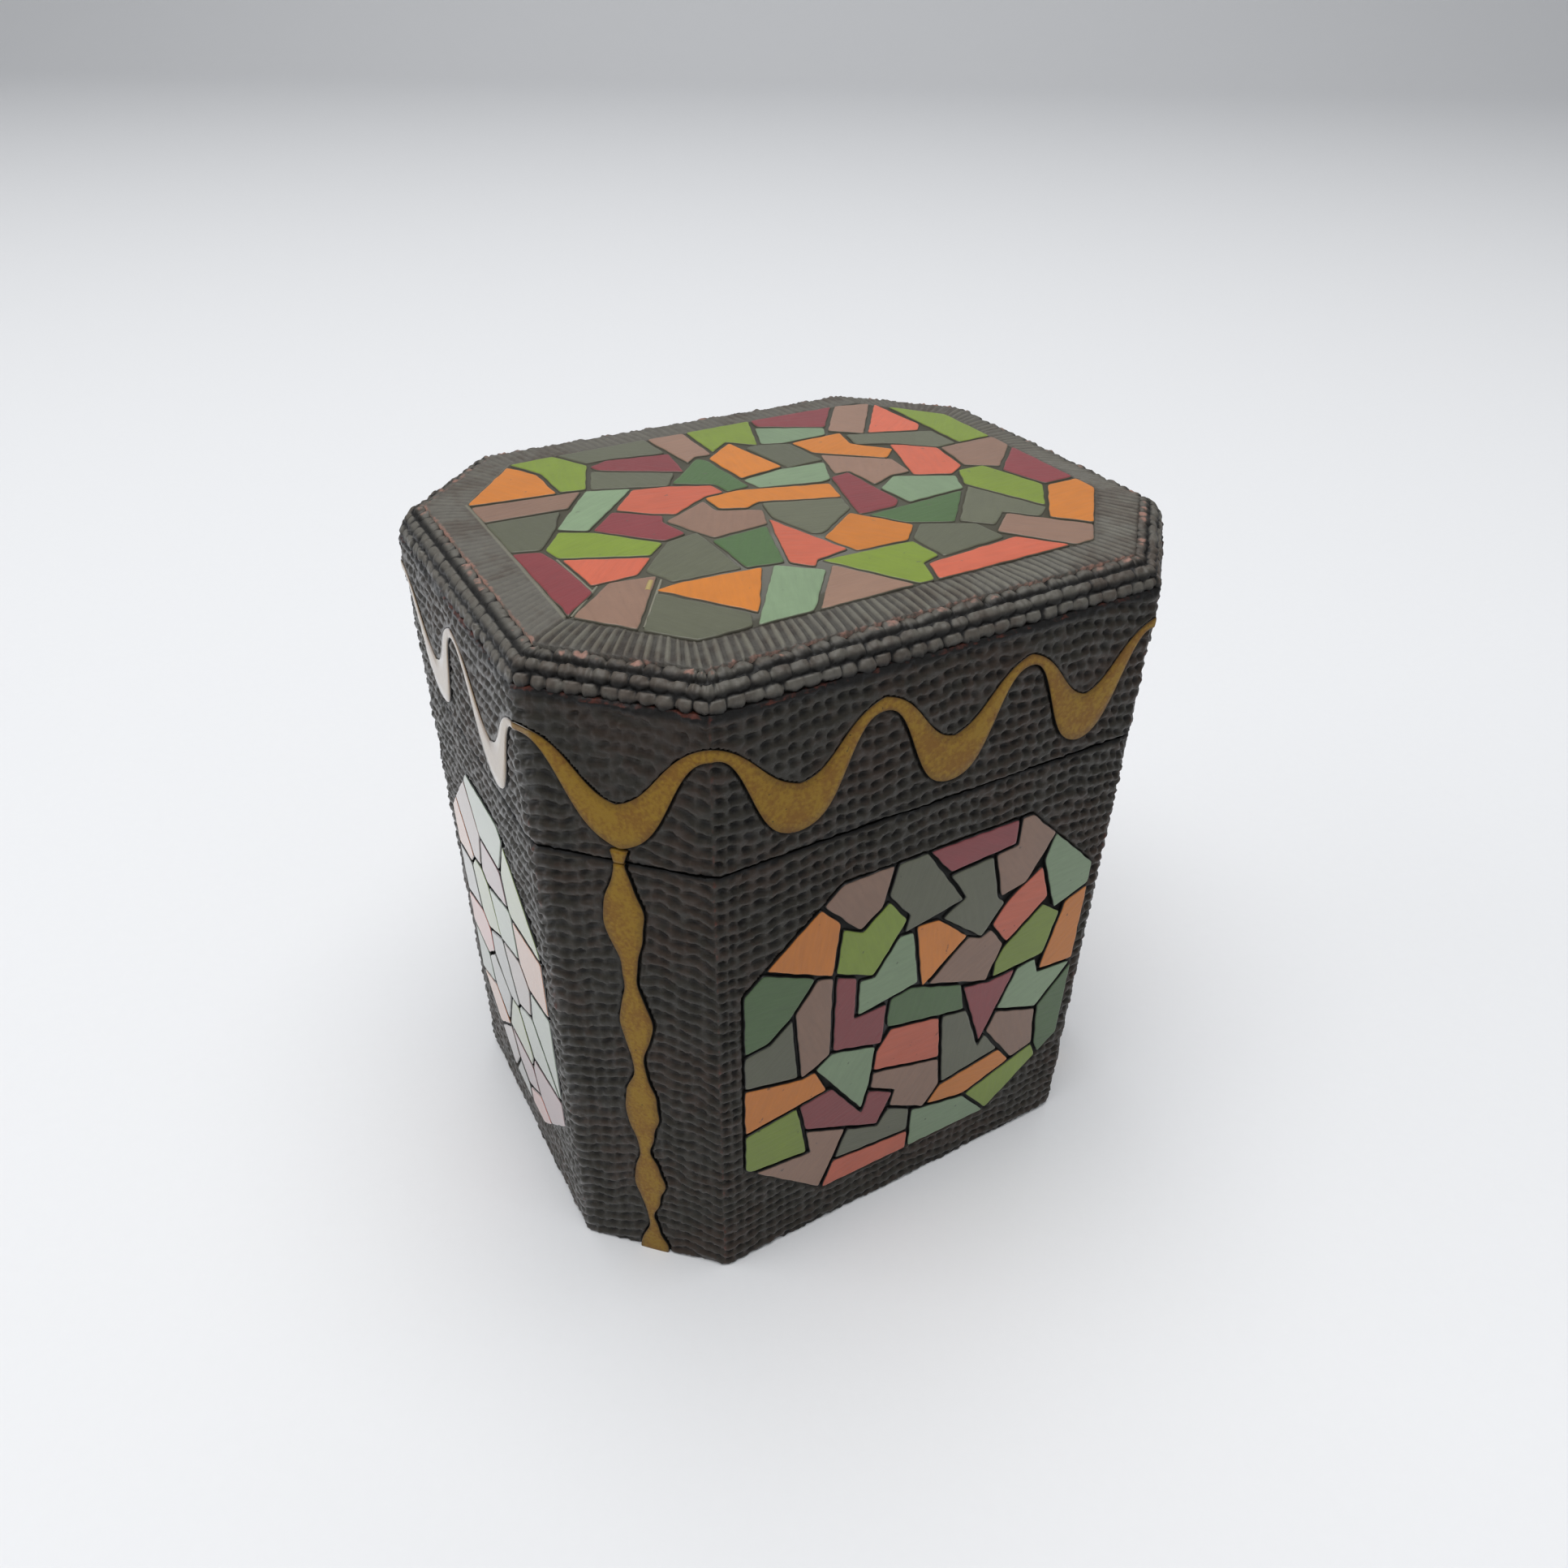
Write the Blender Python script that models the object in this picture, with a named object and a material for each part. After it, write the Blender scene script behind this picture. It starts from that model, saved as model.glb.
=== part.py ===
"""Wooden tea caddy: an eight-sided hollow box with a lift-off lid, carved in low relief.

Metres, +Z up. The origin is the middle of the underside, and the long front face looks along -Y.
Each carved form stands up from a ground that is cut back by RELIEF, so the tops of the tiles, ribbon,
drips and beads lie in the planes of the block that the caddy was cut from.
"""

import math

import bmesh
import bpy
import numpy as np

# The block and its parting line.
HEIGHT = 0.140
LENGTH = 0.130
DEPTH = 0.106
CORNER_CUT = 0.022
SEAM_HEIGHT = 0.105
SEAM_GAP = 0.0004

# The hollow inside, and the lip that the lid drops over.
WALL = 0.007
FLOOR = 0.006
LID_TOP = 0.0075
LIP_HEIGHT = 0.005
LIP_THICKNESS = 0.003
LIP_CLEARANCE = 0.0004

# The carving: how far the ground is cut back, and how deep a carved form is rooted in the wood.
RELIEF = 0.0008
ROOT = 0.0015
FLATNESS = 1e-8

# The mosaic panels.
TILE_SIZE = 0.0138
TILE_RANGE = (1.0, 1.7)
CUT_TILT = math.radians(28)
CUT_SHIFT = 0.35
JOINT = 0.0010
SHORTEST_SIDE = 0.0016
TOP_PANEL_MARGIN = 0.0126
SIDE_PANEL_MARGIN = 0.005
SIDE_PANEL_BASE = 0.011
SIDE_PANEL_HEAD = 0.0108
SIDE_PANEL_CUT = 0.0185

# The gilt ribbon: each wave falls from a thin crest to a deep trough. Its edges are shares of the lid's
# height, up from the seam.
WAVE_LENGTH = 0.030
CREST_TOP = 0.697
CREST_FOOT = 0.634
TROUGH_TOP = 0.383
TROUGH_FOOT = 0.114
TROUGH_POINT = 0.3
ARCH_STEEPNESS = 0.06
STATIONS_PER_WAVE = 10

# The gilt drip down each corner face: (share, width). Shares up to 1 are of the body's height, and what is
# over 1 is a share of the lid's.
DRIP_OUTLINE = (
    (1.071, 0.0030), (1.000, 0.0022), (0.890, 0.0075), (0.762, 0.0022), (0.657, 0.0060), (0.543, 0.0022),
    (0.438, 0.0070), (0.305, 0.0028), (0.229, 0.0062), (0.095, 0.0016), (0.000, 0.0060),
)
DRIP_STEPS = 3

# The rounded edge of the lid, with its rows of beads, and the fluted border inside it.
EDGE_ROUND = 0.0056
BEAD_ROWS = 3
BEAD_PITCH = 0.0038
BEAD_DEPTH = 0.0008
EDGE_FOOT = 0.0003
FLUTE_MARGIN = 0.0004
FLUTE_HEIGHT = 0.0006

SIDE_SEED = 7
TOP_SEED = 107

# The eight faces, anticlockwise seen from above: side i runs from corner i to corner i + 1. The broad ones
# are the front, right, back and left, in that order.
BROAD_FACES = range(0, 8, 2)
CORNER_FACES = range(1, 8, 2)

LACQUER = {"base": (0.045, 0.041, 0.038, 1.0), "roughness": 0.38}


def corner_cut(inset):
    """The cut of an octagon whose eight sides all lie inset from the outside."""
    return CORNER_CUT - inset * (2 - math.sqrt(2))


def octagon(inset=0.0):
    """The eight corners of the plan at an inset, from the front face's left end."""
    a, b, cut = LENGTH / 2 - inset, DEPTH / 2 - inset, corner_cut(inset)
    return np.array([
        (-a + cut, -b), (a - cut, -b), (a, -b + cut), (a, b - cut),
        (a - cut, b), (-a + cut, b), (-a, b - cut), (-a, -b + cut),
    ])


def face_frame(side):
    """Where a face starts, the direction along it, its outward direction and its width."""
    corners = octagon()
    start, end = corners[side], corners[(side + 1) % 8]
    width = float(np.linalg.norm(end - start))
    along = (end - start) / width
    return start, along, np.array((along[1], -along[0])), width


def collection(name):
    """A new collection in the scene."""
    made = bpy.data.collections.new(name)
    bpy.context.scene.collection.children.link(made)
    return made


def add_mesh(name, vertices, faces, home):
    """A new object from points and faces, turned outwards, with its warped faces cut into flat triangles."""
    mesh = bpy.data.meshes.new(name)
    mesh.from_pydata([tuple(map(float, v)) for v in vertices], [], faces)
    shell = bmesh.new()
    shell.from_mesh(mesh)
    shell.normal_update()
    warped = [
        f for f in shell.faces
        if any(abs((v.co - f.verts[0].co).dot(f.normal)) > FLATNESS for v in f.verts)
    ]
    bmesh.ops.triangulate(shell, faces=warped)
    bmesh.ops.recalc_face_normals(shell, faces=shell.faces)
    shell.to_mesh(mesh)
    shell.free()
    made = bpy.data.objects.new(name, mesh)
    home.objects.link(made)
    return made


def add_block(name, inset, low, high, home):
    """A box at an inset from the outside, between two heights, with its upright edges cut off."""
    block = bmesh.new()
    bmesh.ops.create_cube(block, size=1.0)
    size = (LENGTH - 2 * inset, DEPTH - 2 * inset, high - low)
    bmesh.ops.scale(block, vec=size, verts=block.verts)
    bmesh.ops.translate(block, vec=(0, 0, (low + high) / 2), verts=block.verts)
    upright = [e for e in block.edges if abs(e.verts[0].co.z - e.verts[1].co.z) > size[2] / 2]
    bmesh.ops.bevel(
        block, geom=upright, offset=corner_cut(inset), offset_type="OFFSET", segments=1, affect="EDGES"
    )
    mesh = bpy.data.meshes.new(name)
    block.to_mesh(mesh)
    block.free()
    made = bpy.data.objects.new(name, mesh)
    home.objects.link(made)
    return made


def use_tool(target, tool, operation):
    """Joins, cuts or keeps the common part with a hidden tool object."""
    tool.hide_render = True
    tool.display_type = "WIRE"
    modifier = target.modifiers.new(tool.name, "BOOLEAN")
    modifier.operation = operation
    modifier.object = tool
    modifier.solver = "EXACT"


def rings_to_faces(rings, count, closed_rings):
    """Quads between neighbouring rings of count points. Closed rings meet; open stacks get end caps."""
    faces = []
    for r in range(rings if closed_rings else rings - 1):
        here, there = r * count, (r + 1) % rings * count
        for k in range(count):
            beside = (k + 1) % count
            faces.append((here + k, here + beside, there + beside, there + k))
    if not closed_rings:
        faces += [tuple(range(count))[::-1], tuple(range((rings - 1) * count, rings * count))]
    return faces


def clip(polygon, point, normal):
    """The part of a convex polygon that lies on the side of a line that its normal points away from."""
    kept = []
    for here, there in zip(polygon, polygon[1:] + polygon[:1]):
        h, t = float((here - point) @ normal), float((there - point) @ normal)
        if h <= 0:
            kept.append(here)
        if h * t < 0:
            kept.append(here + (there - here) * h / (h - t))
    return kept


def without_short_sides(polygon):
    """The polygon with corners that nearly meet made one."""
    kept = []
    for point in polygon:
        if not kept or np.linalg.norm(point - kept[-1]) > SHORTEST_SIDE:
            kept.append(point)
    if len(kept) > 1 and np.linalg.norm(kept[0] - kept[-1]) <= SHORTEST_SIDE:
        kept.pop()
    return kept


def polygon_area(polygon):
    """Half of what the corners' cross products add up to."""
    x, y = np.array(polygon).T
    return abs(float(x @ np.roll(y, -1) - y @ np.roll(x, -1))) / 2


def paving(outline, seed):
    """Crazy paving inside a convex outline, which straight joints cut across again and again.

    Each cut crosses the long way of its piece, somewhat off square and off the middle, until the pieces are
    about TILE_SIZE across. Half a joint is left empty on either side of a cut.
    """
    chance = np.random.default_rng(seed)
    waiting, tiles = [[np.array(point, float) for point in outline]], []
    while waiting:
        piece = waiting.pop()
        if polygon_area(piece) < TILE_SIZE ** 2 * chance.uniform(*TILE_RANGE):
            tiles.append(without_short_sides(piece))
            continue
        spread = np.array(piece) - np.mean(piece, axis=0)
        long_way = np.linalg.eigh(spread.T @ spread)[1][:, -1]
        turn = chance.uniform(-CUT_TILT, CUT_TILT)
        across = np.array((
            long_way[0] * math.cos(turn) - long_way[1] * math.sin(turn),
            long_way[0] * math.sin(turn) + long_way[1] * math.cos(turn),
        ))
        middle = np.mean(piece, axis=0) + long_way * chance.uniform(-CUT_SHIFT, CUT_SHIFT) * TILE_SIZE
        waiting.append(clip(piece, middle - across * JOINT / 2, across))
        waiting.append(clip(piece, middle + across * JOINT / 2, -across))
    return [tile for tile in tiles if len(tile) > 2]


def cut_rectangle(left, right, low, high, cut):
    """An upright rectangle's outline with its four corners cut off at 45 degrees."""
    return [
        (left + cut, low), (right - cut, low), (right, low + cut), (right, high - cut),
        (right - cut, high), (left + cut, high), (left, high - cut), (left, low + cut),
    ]


def add_tiles(name, tiles, place, home):
    """Upright blocks on flat outlines; place turns a flat point and a depth into a point in space."""
    vertices, faces = [], []
    for tile in tiles:
        first, count = len(vertices), len(tile)
        vertices += [place(point, RELIEF + ROOT) for point in tile] + [place(point, 0.0) for point in tile]
        faces += [tuple(first + i for i in face) for face in rings_to_faces(2, count, False)]
    return add_mesh(name, vertices, faces, home)


def side_tiles(home):
    """The raised mosaic of the four broad walls of the body."""
    made = []
    for side in BROAD_FACES:
        start, along, out, width = face_frame(side)
        outline = cut_rectangle(
            SIDE_PANEL_MARGIN, width - SIDE_PANEL_MARGIN,
            SIDE_PANEL_BASE, SEAM_HEIGHT - SIDE_PANEL_HEAD, SIDE_PANEL_CUT,
        )

        def place(point, depth, start=start, along=along, out=out):
            return (*(start + along * point[0] - out * depth), point[1])

        made.append(add_tiles(f"side_mosaic_{side}", paving(outline, SIDE_SEED + side), place, home))
    return made


def top_tiles(home):
    """The raised mosaic of the lid's top."""
    outline = [tuple(corner) for corner in octagon(TOP_PANEL_MARGIN)]

    def place(point, depth):
        return (point[0], point[1], HEIGHT - depth)

    return add_tiles("top_mosaic", paving(outline, TOP_SEED), place, home)


def fall(share):
    """From 1 at a wave's crest to 0 at its trough, as a half cosine, for a share from 0 to 1."""
    return (1 + math.cos(math.pi * share)) / 2


def ribbon_section(share):
    """The ribbon's upper and lower edge, as heights, at a share of the way from crest to trough."""
    pointed = TROUGH_POINT * (1 - share) + (1 - TROUGH_POINT) * fall(share)
    steep = fall(share - ARCH_STEEPNESS * math.sin(2 * math.pi * share))
    lid_height = HEIGHT - SEAM_HEIGHT
    top = SEAM_HEIGHT + lid_height * (TROUGH_TOP + (CREST_TOP - TROUGH_TOP) * pointed)
    foot = SEAM_HEIGHT + lid_height * (TROUGH_FOOT + (CREST_FOOT - TROUGH_FOOT) * steep)
    return top, foot


def gilt_ribbon(home):
    """The wave ribbon round the lid, as a square section carried round the octagon.

    Each face holds a whole number of waves with a crest at both ends, so crests sit on the corners.
    """
    outer, inner = octagon(), octagon(RELIEF + ROOT)
    vertices = []
    for side in range(8):
        width = face_frame(side)[3]
        stations = STATIONS_PER_WAVE * max(1, round(width / WAVE_LENGTH))
        for k in range(stations):
            along = k / stations
            share = 1 - abs(1 - 2 * (k % STATIONS_PER_WAVE) / STATIONS_PER_WAVE)
            top, foot = ribbon_section(share)
            proud = outer[side] * (1 - along) + outer[(side + 1) % 8] * along
            rooted = inner[side] * (1 - along) + inner[(side + 1) % 8] * along
            vertices += [(*proud, foot), (*proud, top), (*rooted, top), (*rooted, foot)]
    return add_mesh("gilt_ribbon", vertices, rings_to_faces(len(vertices) // 4, 4, True), home)


def drip_height(share):
    """The height that a share in the drip's outline stands for."""
    return SEAM_HEIGHT * min(share, 1) + (HEIGHT - SEAM_HEIGHT) * max(share - 1, 0)


def drip_widths(low, high):
    """(height, width) up a drip between two heights, eased between the points of its outline."""
    found = []
    for (upper, upper_width), (lower, lower_width) in zip(DRIP_OUTLINE, DRIP_OUTLINE[1:]):
        for k in range(DRIP_STEPS):
            share = k / DRIP_STEPS
            height = drip_height(upper) * (1 - share) + drip_height(lower) * share
            found.append((height, lower_width + (upper_width - lower_width) * fall(share)))
    found.append((drip_height(DRIP_OUTLINE[-1][0]), DRIP_OUTLINE[-1][1]))
    heights, widths = np.array(found[::-1]).T
    tip = min(high, heights[-1])
    inside = [z for z in heights if low < z < tip]
    return [(z, float(np.interp(z, heights, widths))) for z in (low, *inside, tip)]


def gilt_drip(side, low, high, home):
    """One drip down the middle of a corner face between two heights."""
    start, along, out, width = face_frame(side)
    vertices = []
    for height, across in drip_widths(low, high):
        for reach, depth in ((-0.5, 0.0), (0.5, 0.0), (0.5, RELIEF + ROOT), (-0.5, RELIEF + ROOT)):
            vertices.append((*(start + along * (width / 2 + reach * across) - out * depth), height))
    return add_mesh(f"drip_{side}_{low:.3f}", vertices, rings_to_faces(len(vertices) // 4, 4, False), home)


def beaded_edge(home):
    """The lid's rounded edge with its beads, and the fluted border, closed above and below.

    A profile is carried round the octagon. Along the path, stations stand half a bead apart. Across it,
    the profile turns a quarter circle of radius EDGE_ROUND: between rows it is sunk by BEAD_DEPTH, and in a
    row every second station stands at full height, one station further on in each following row.
    """
    quarter = math.pi / 2
    loops = [(RELIEF + ROOT, HEIGHT - EDGE_ROUND - ROOT, 0.0, 0.0, None)]
    for step in range(2 * BEAD_ROWS + 1):
        angle = quarter * step / (2 * BEAD_ROWS)
        sunk = EDGE_FOOT if step == 0 else BEAD_DEPTH
        inset = EDGE_ROUND - (EDGE_ROUND - sunk) * math.cos(angle)
        height = HEIGHT - EDGE_ROUND + (EDGE_ROUND - sunk) * math.sin(angle)
        in_row = step % 2 == 1
        push = sunk * math.cos(angle) if in_row else 0.0
        lift = sunk * math.sin(angle) if in_row else 0.0
        loops.append((inset, height, push, lift, step // 2 if in_row else None))
    ground = HEIGHT - BEAD_DEPTH
    flute_start, flute_end = EDGE_ROUND + FLUTE_MARGIN, TOP_PANEL_MARGIN - FLUTE_MARGIN
    loops.append((flute_start, ground, 0.0, FLUTE_HEIGHT, 0))
    loops.append((flute_end, ground, 0.0, 0.0, None))

    vertices = []
    halves = [2 * max(2, round(face_frame(side)[3] / BEAD_PITCH)) for side in range(8)]
    for inset, height, push, lift, row in loops:
        station = 0
        valley, peak = octagon(inset), octagon(inset - push)
        for side in range(8):
            for k in range(halves[side]):
                up = row is not None and (station + row) % 2 == 0
                corners = peak if up else valley
                share = k / halves[side]
                point = corners[side] * (1 - share) + corners[(side + 1) % 8] * share
                vertices.append((*point, height + (lift if up else 0.0)))
                station += 1
    return add_mesh("beaded_edge", vertices, rings_to_faces(len(loops), sum(halves), False), home)


def lacquered(name):
    """Dark lacquered wood."""
    material = bpy.data.materials.new(name)
    material.use_nodes = True
    shader = material.node_tree.nodes["Principled BSDF"]
    shader.inputs["Base Color"].default_value = LACQUER["base"]
    shader.inputs["Roughness"].default_value = LACQUER["roughness"]
    shader.inputs["Metallic"].default_value = 0.0
    return material


def make_body(parts, tools):
    """The lower box: carved outside, hollow inside, with the lip that the lid drops over."""
    rim = SEAM_HEIGHT - SEAM_GAP / 2
    lip_inset = WALL - LIP_THICKNESS
    body = add_block("caddy_body", RELIEF, -ROOT, rim + ROOT, parts)
    for tiles in side_tiles(tools):
        use_tool(body, tiles, "UNION")
    for side in CORNER_FACES:
        use_tool(body, gilt_drip(side, -ROOT, rim + ROOT, tools), "UNION")
    use_tool(body, add_block("body_extent", -WALL, 0.0, rim, tools), "INTERSECT")
    use_tool(body, add_block("body_lip", lip_inset, rim - WALL, rim + LIP_HEIGHT, tools), "UNION")
    use_tool(body, add_block("body_hollow", WALL, FLOOR, HEIGHT, tools), "DIFFERENCE")
    body.data.materials.append(lacquered("body_lacquer"))
    return body


def make_lid(parts, tools):
    """The cap: carved outside, hollow inside, with a step that drops over the body's lip."""
    seat = SEAM_HEIGHT + SEAM_GAP / 2
    lip_top = SEAM_HEIGHT - SEAM_GAP / 2 + LIP_HEIGHT
    step_inset = WALL - LIP_THICKNESS - LIP_CLEARANCE
    # The wall runs up to just under the beaded edge's lowest loop, inside it.
    lid = add_block("caddy_lid", RELIEF, seat - ROOT, HEIGHT - EDGE_ROUND - EDGE_FOOT / 2, parts)
    use_tool(lid, beaded_edge(tools), "UNION")
    use_tool(lid, top_tiles(tools), "UNION")
    use_tool(lid, gilt_ribbon(tools), "UNION")
    for side in CORNER_FACES:
        use_tool(lid, gilt_drip(side, seat - ROOT, HEIGHT, tools), "UNION")
    use_tool(lid, add_block("lid_extent", -WALL, seat, HEIGHT + WALL, tools), "INTERSECT")
    below = SEAM_HEIGHT - WALL
    use_tool(lid, add_block("lid_step", step_inset, below, lip_top + LIP_CLEARANCE, tools), "DIFFERENCE")
    use_tool(lid, add_block("lid_hollow", WALL, below, HEIGHT - LID_TOP, tools), "DIFFERENCE")
    lid.data.materials.append(lacquered("lid_lacquer"))
    return lid


def main():
    for old in list(bpy.data.objects):
        bpy.data.objects.remove(old)
    parts, tools = collection("wooden_tea_caddy"), collection("carving_tools")
    make_body(parts, tools)
    make_lid(parts, tools)


main()
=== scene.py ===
"""Wooden tea caddy: its gouged ground, beads, flutes, gilding and mosaics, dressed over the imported
solids."""

import math

import bpy
import numpy as np
from bpy.props import FloatProperty, FloatVectorProperty, PointerProperty
from bpy.types import Operator, Panel, PropertyGroup
from mathutils import Matrix, Vector


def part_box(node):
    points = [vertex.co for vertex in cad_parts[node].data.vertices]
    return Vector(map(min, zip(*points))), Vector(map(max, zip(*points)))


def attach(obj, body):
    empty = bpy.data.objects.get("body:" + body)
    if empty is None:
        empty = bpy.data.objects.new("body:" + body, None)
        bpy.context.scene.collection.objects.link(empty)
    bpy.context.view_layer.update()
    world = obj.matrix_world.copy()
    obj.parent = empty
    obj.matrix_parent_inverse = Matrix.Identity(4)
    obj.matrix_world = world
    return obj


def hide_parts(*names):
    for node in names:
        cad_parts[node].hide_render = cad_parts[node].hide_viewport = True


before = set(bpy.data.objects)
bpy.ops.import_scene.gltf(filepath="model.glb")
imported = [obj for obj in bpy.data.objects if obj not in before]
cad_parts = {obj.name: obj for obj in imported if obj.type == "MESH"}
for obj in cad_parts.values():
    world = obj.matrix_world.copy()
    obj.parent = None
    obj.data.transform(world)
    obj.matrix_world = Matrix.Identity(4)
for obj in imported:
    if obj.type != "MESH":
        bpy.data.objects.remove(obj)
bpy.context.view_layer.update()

bl_info = {
    "name": "Wooden tea caddy",
    "version": (1, 0, 0),
    "blender": (4, 5, 0),
    "location": "View3D > Sidebar > Caddy",
    "description": "Carved, gilded and painted surfaces of an eight-sided tea caddy, and its studio stage",
    "category": "Add Mesh",
}

MM = 0.001
TURN = 2 * math.pi

# The solids' sizes. Lengths here are in millimetres, and make_piece turns them into metres.
BODY_HIGH = np.array(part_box("caddy_body")[1]) / MM
LID_LOW, LID_HIGH = (np.array(corner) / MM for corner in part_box("caddy_lid"))
HALF_LENGTH, HALF_DEPTH = BODY_HIGH[:2]
TOP = LID_HIGH[2]
LID_FOOT = LID_LOW[2]
SEAM_GAP = 0.4
BODY_TOP = LID_FOOT - SEAM_GAP
LIP_TOP = BODY_HIGH[2]

# Insets of the plain cores' walls: their skin under the carving, the lip's outside and the inside. Then the
# heights of the inside's floor and ceiling.
SKIN = 2.2
LIP_OUTSIDE = 4.0
INSIDE = 7.0
FLOOR_TOP = 6.0
CEILING = TOP - 7.5


def corner_cut():
    """The width that a corner face takes from the front: what the solid's reach along x + y falls short of a
    square corner's, which its drips on the corner faces give."""
    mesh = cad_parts["caddy_body"].data
    points = np.empty(len(mesh.vertices) * 3)
    mesh.vertices.foreach_get("co", points)
    points = points.reshape(-1, 3) / MM
    return HALF_LENGTH + HALF_DEPTH - (points[:, 0] + points[:, 1]).max()


CUT = corner_cut()

# The eight walls, anticlockwise seen from above: wall i runs from corner i to corner i + 1.
FRONT, FRONT_RIGHT, RIGHT, BACK_RIGHT, BACK, BACK_LEFT, LEFT, FRONT_LEFT = range(8)
CORNERS = np.array([
    (CUT - HALF_LENGTH, -HALF_DEPTH), (HALF_LENGTH - CUT, -HALF_DEPTH),
    (HALF_LENGTH, CUT - HALF_DEPTH), (HALF_LENGTH, HALF_DEPTH - CUT),
    (HALF_LENGTH - CUT, HALF_DEPTH), (CUT - HALF_LENGTH, HALF_DEPTH),
    (-HALF_LENGTH, HALF_DEPTH - CUT), (-HALF_LENGTH, CUT - HALF_DEPTH),
])
SPANS = np.roll(CORNERS, -1, axis=0) - CORNERS
WIDTHS = np.linalg.norm(SPANS, axis=1)
ALONG = SPANS / WIDTHS[:, None]
INWARD = np.stack([-ALONG[:, 1], ALONG[:, 0]], axis=1)
MITRE = math.tan(math.pi / 8)
MITRE_REACH = 4.0

# The gouged ground: its grid, its cuts on each wall from the front round, the pitch of their rows, its upper
# edge under the beads, and its level and depth. The shares, the pit's width in cells and the rows' wander
# are for a broad wall and a corner face, and the pit's height in rows is above and below its middle.
GRID_STEP = 0.4
GOUGE_CELLS = np.array([36, 12, 26, 12, 36, 12, 26, 12])
GOUGE_ROW = np.array([2.55, 2.75, 2.55, 2.75, 2.55, 2.75, 2.55, 2.75])
GROUND_TOP = TOP - 5.2
GROUND_LEVEL = 0.24
CUT_DEPTH = 1.1
GROOVE_SHARE = np.array([0.24, 0.40])
PIT_SHARE = np.array([0.76, 0.50])
PIT_WIDTH = np.array([0.43, 0.48])
PIT_HEIGHT = (0.32, 0.40)
ROW_WANDER = np.array([0.12, 0.17])

# How much of the cuts is left below the ribbon and above it, and the moat round the ornament there: where it
# starts and ends, measured from the ornament's edge, and its depth.
CUTS_LEFT = np.array([(1.0, 0.85), (0.85, 0.60)])
MOATS = np.array([(0.12, 0.58, 0.9), (0.25, 1.3, 0.22)])

# The lid's rounded edge and its three rows of beads: points on each bead, beads on each wall, and a bead's
# width in cells and height in rows, above and below its middle. The last two rows of numbers are how
# strongly the beads of each wall stand out, and how much painted shade darkens their tips.
EDGE_RADIUS = 5.6
BEAD_ROWS = 3
BEAD_POINTS = 11
BEAD_CELLS = np.array([27, 11, 20, 11, 27, 11, 20, 11])
BEAD_WIDTH = 0.58
BEAD_HEIGHT = (0.74, 0.48)
BEAD_STRENGTH = np.array([0.85, 0.85, 0.75, 0.55, 0.5, 0.5, 0.6, 1.0])
BEAD_SHADE = np.array([0.25, 0.15, 0.2, 0.2, 0.2, 0.2, 0.1, 0.1])

# The fluted border: points on each flute, flutes on each wall, where its rings of points lie from the outer
# edge to the mosaic, and how strong the flutes, the pale line by the mosaic and the wear are on each wall.
FLUTE_POINTS = 6
FLUTE_CELLS = np.array([47, 16, 34, 16, 47, 16, 34, 16])
FLUTE_RINGS = np.array([0, 0.06, 0.14, 0.22, 0.35, 0.55, 0.72, 0.80, 0.86, 0.90, 0.93, 1.0])
FLUTE_STRENGTH = np.array([1.0, 0.8, 0.7, 0.5, 0.5, 0.45, 0.42, 1.1])
LIP_STRENGTH = np.array([0.1, 0.1, 0.1, 0.1, 0.1, 0.3, 1.0, 0.15])
BORDER_WEAR = np.array([0.6, 0.4, 0.4, 0.4, 0.5, 0.6, 0.68, 0.5])

# Seeds of the random numbers that each carved piece draws.
BODY_SEED = 100
LID_SEED = 200
BEAD_SEED = 300
BORDER_SEED = 400

# The gilt ribbon's waves on each wall, and the heights of each trough's notch and tip. A crest stands on
# each corner.
WAVES = np.array([3, 1, 2, 1, 3, 1, 2, 1])
TROUGH_NOTCH = np.array([118.4, 116.6, 116.4, 116.6, 118.4, 116.6, 116.4, 116.6])
TROUGH_TIP = np.array([109.0, 108.2, 107.9, 108.2, 109.0, 108.2, 107.9, 108.2])
CREST_TOP = 129.5
CREST_FOOT = 127.3

# The gilt drip down each corner face: (height, width).
DRIP_OUTLINE = np.array([
    (0.0, 6.0), (10.0, 1.6), (24.0, 6.2), (32.0, 2.6), (46.0, 7.0), (57.0, 2.2), (69.0, 6.0), (80.0, 2.2),
    (93.5, 7.5), (104.6, 2.4), (107.5, 3.2),
])
DRIP_TOP = 107.5

# Corners of the mosaic panels, on a wall (along it, height) and on the top (from the left, from the front).
FRONT_PANEL = ((5, 29), (23, 11.3), (65, 11.3), (83.2, 27), (83.2, 76), (65.2, 94.4), (24.3, 94.4), (5, 77))
TOP_PANEL = (
    (26.8, 13.2), (103.2, 13.2), (119.5, 31.4), (119.5, 78.8),
    (106.8, 94.8), (26, 94), (12.6, 78.2), (12.6, 29.4),
)

PAINTS = ("orange", "coral", "rose", "lime", "green", "sage", "slate", "taupe")

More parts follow.
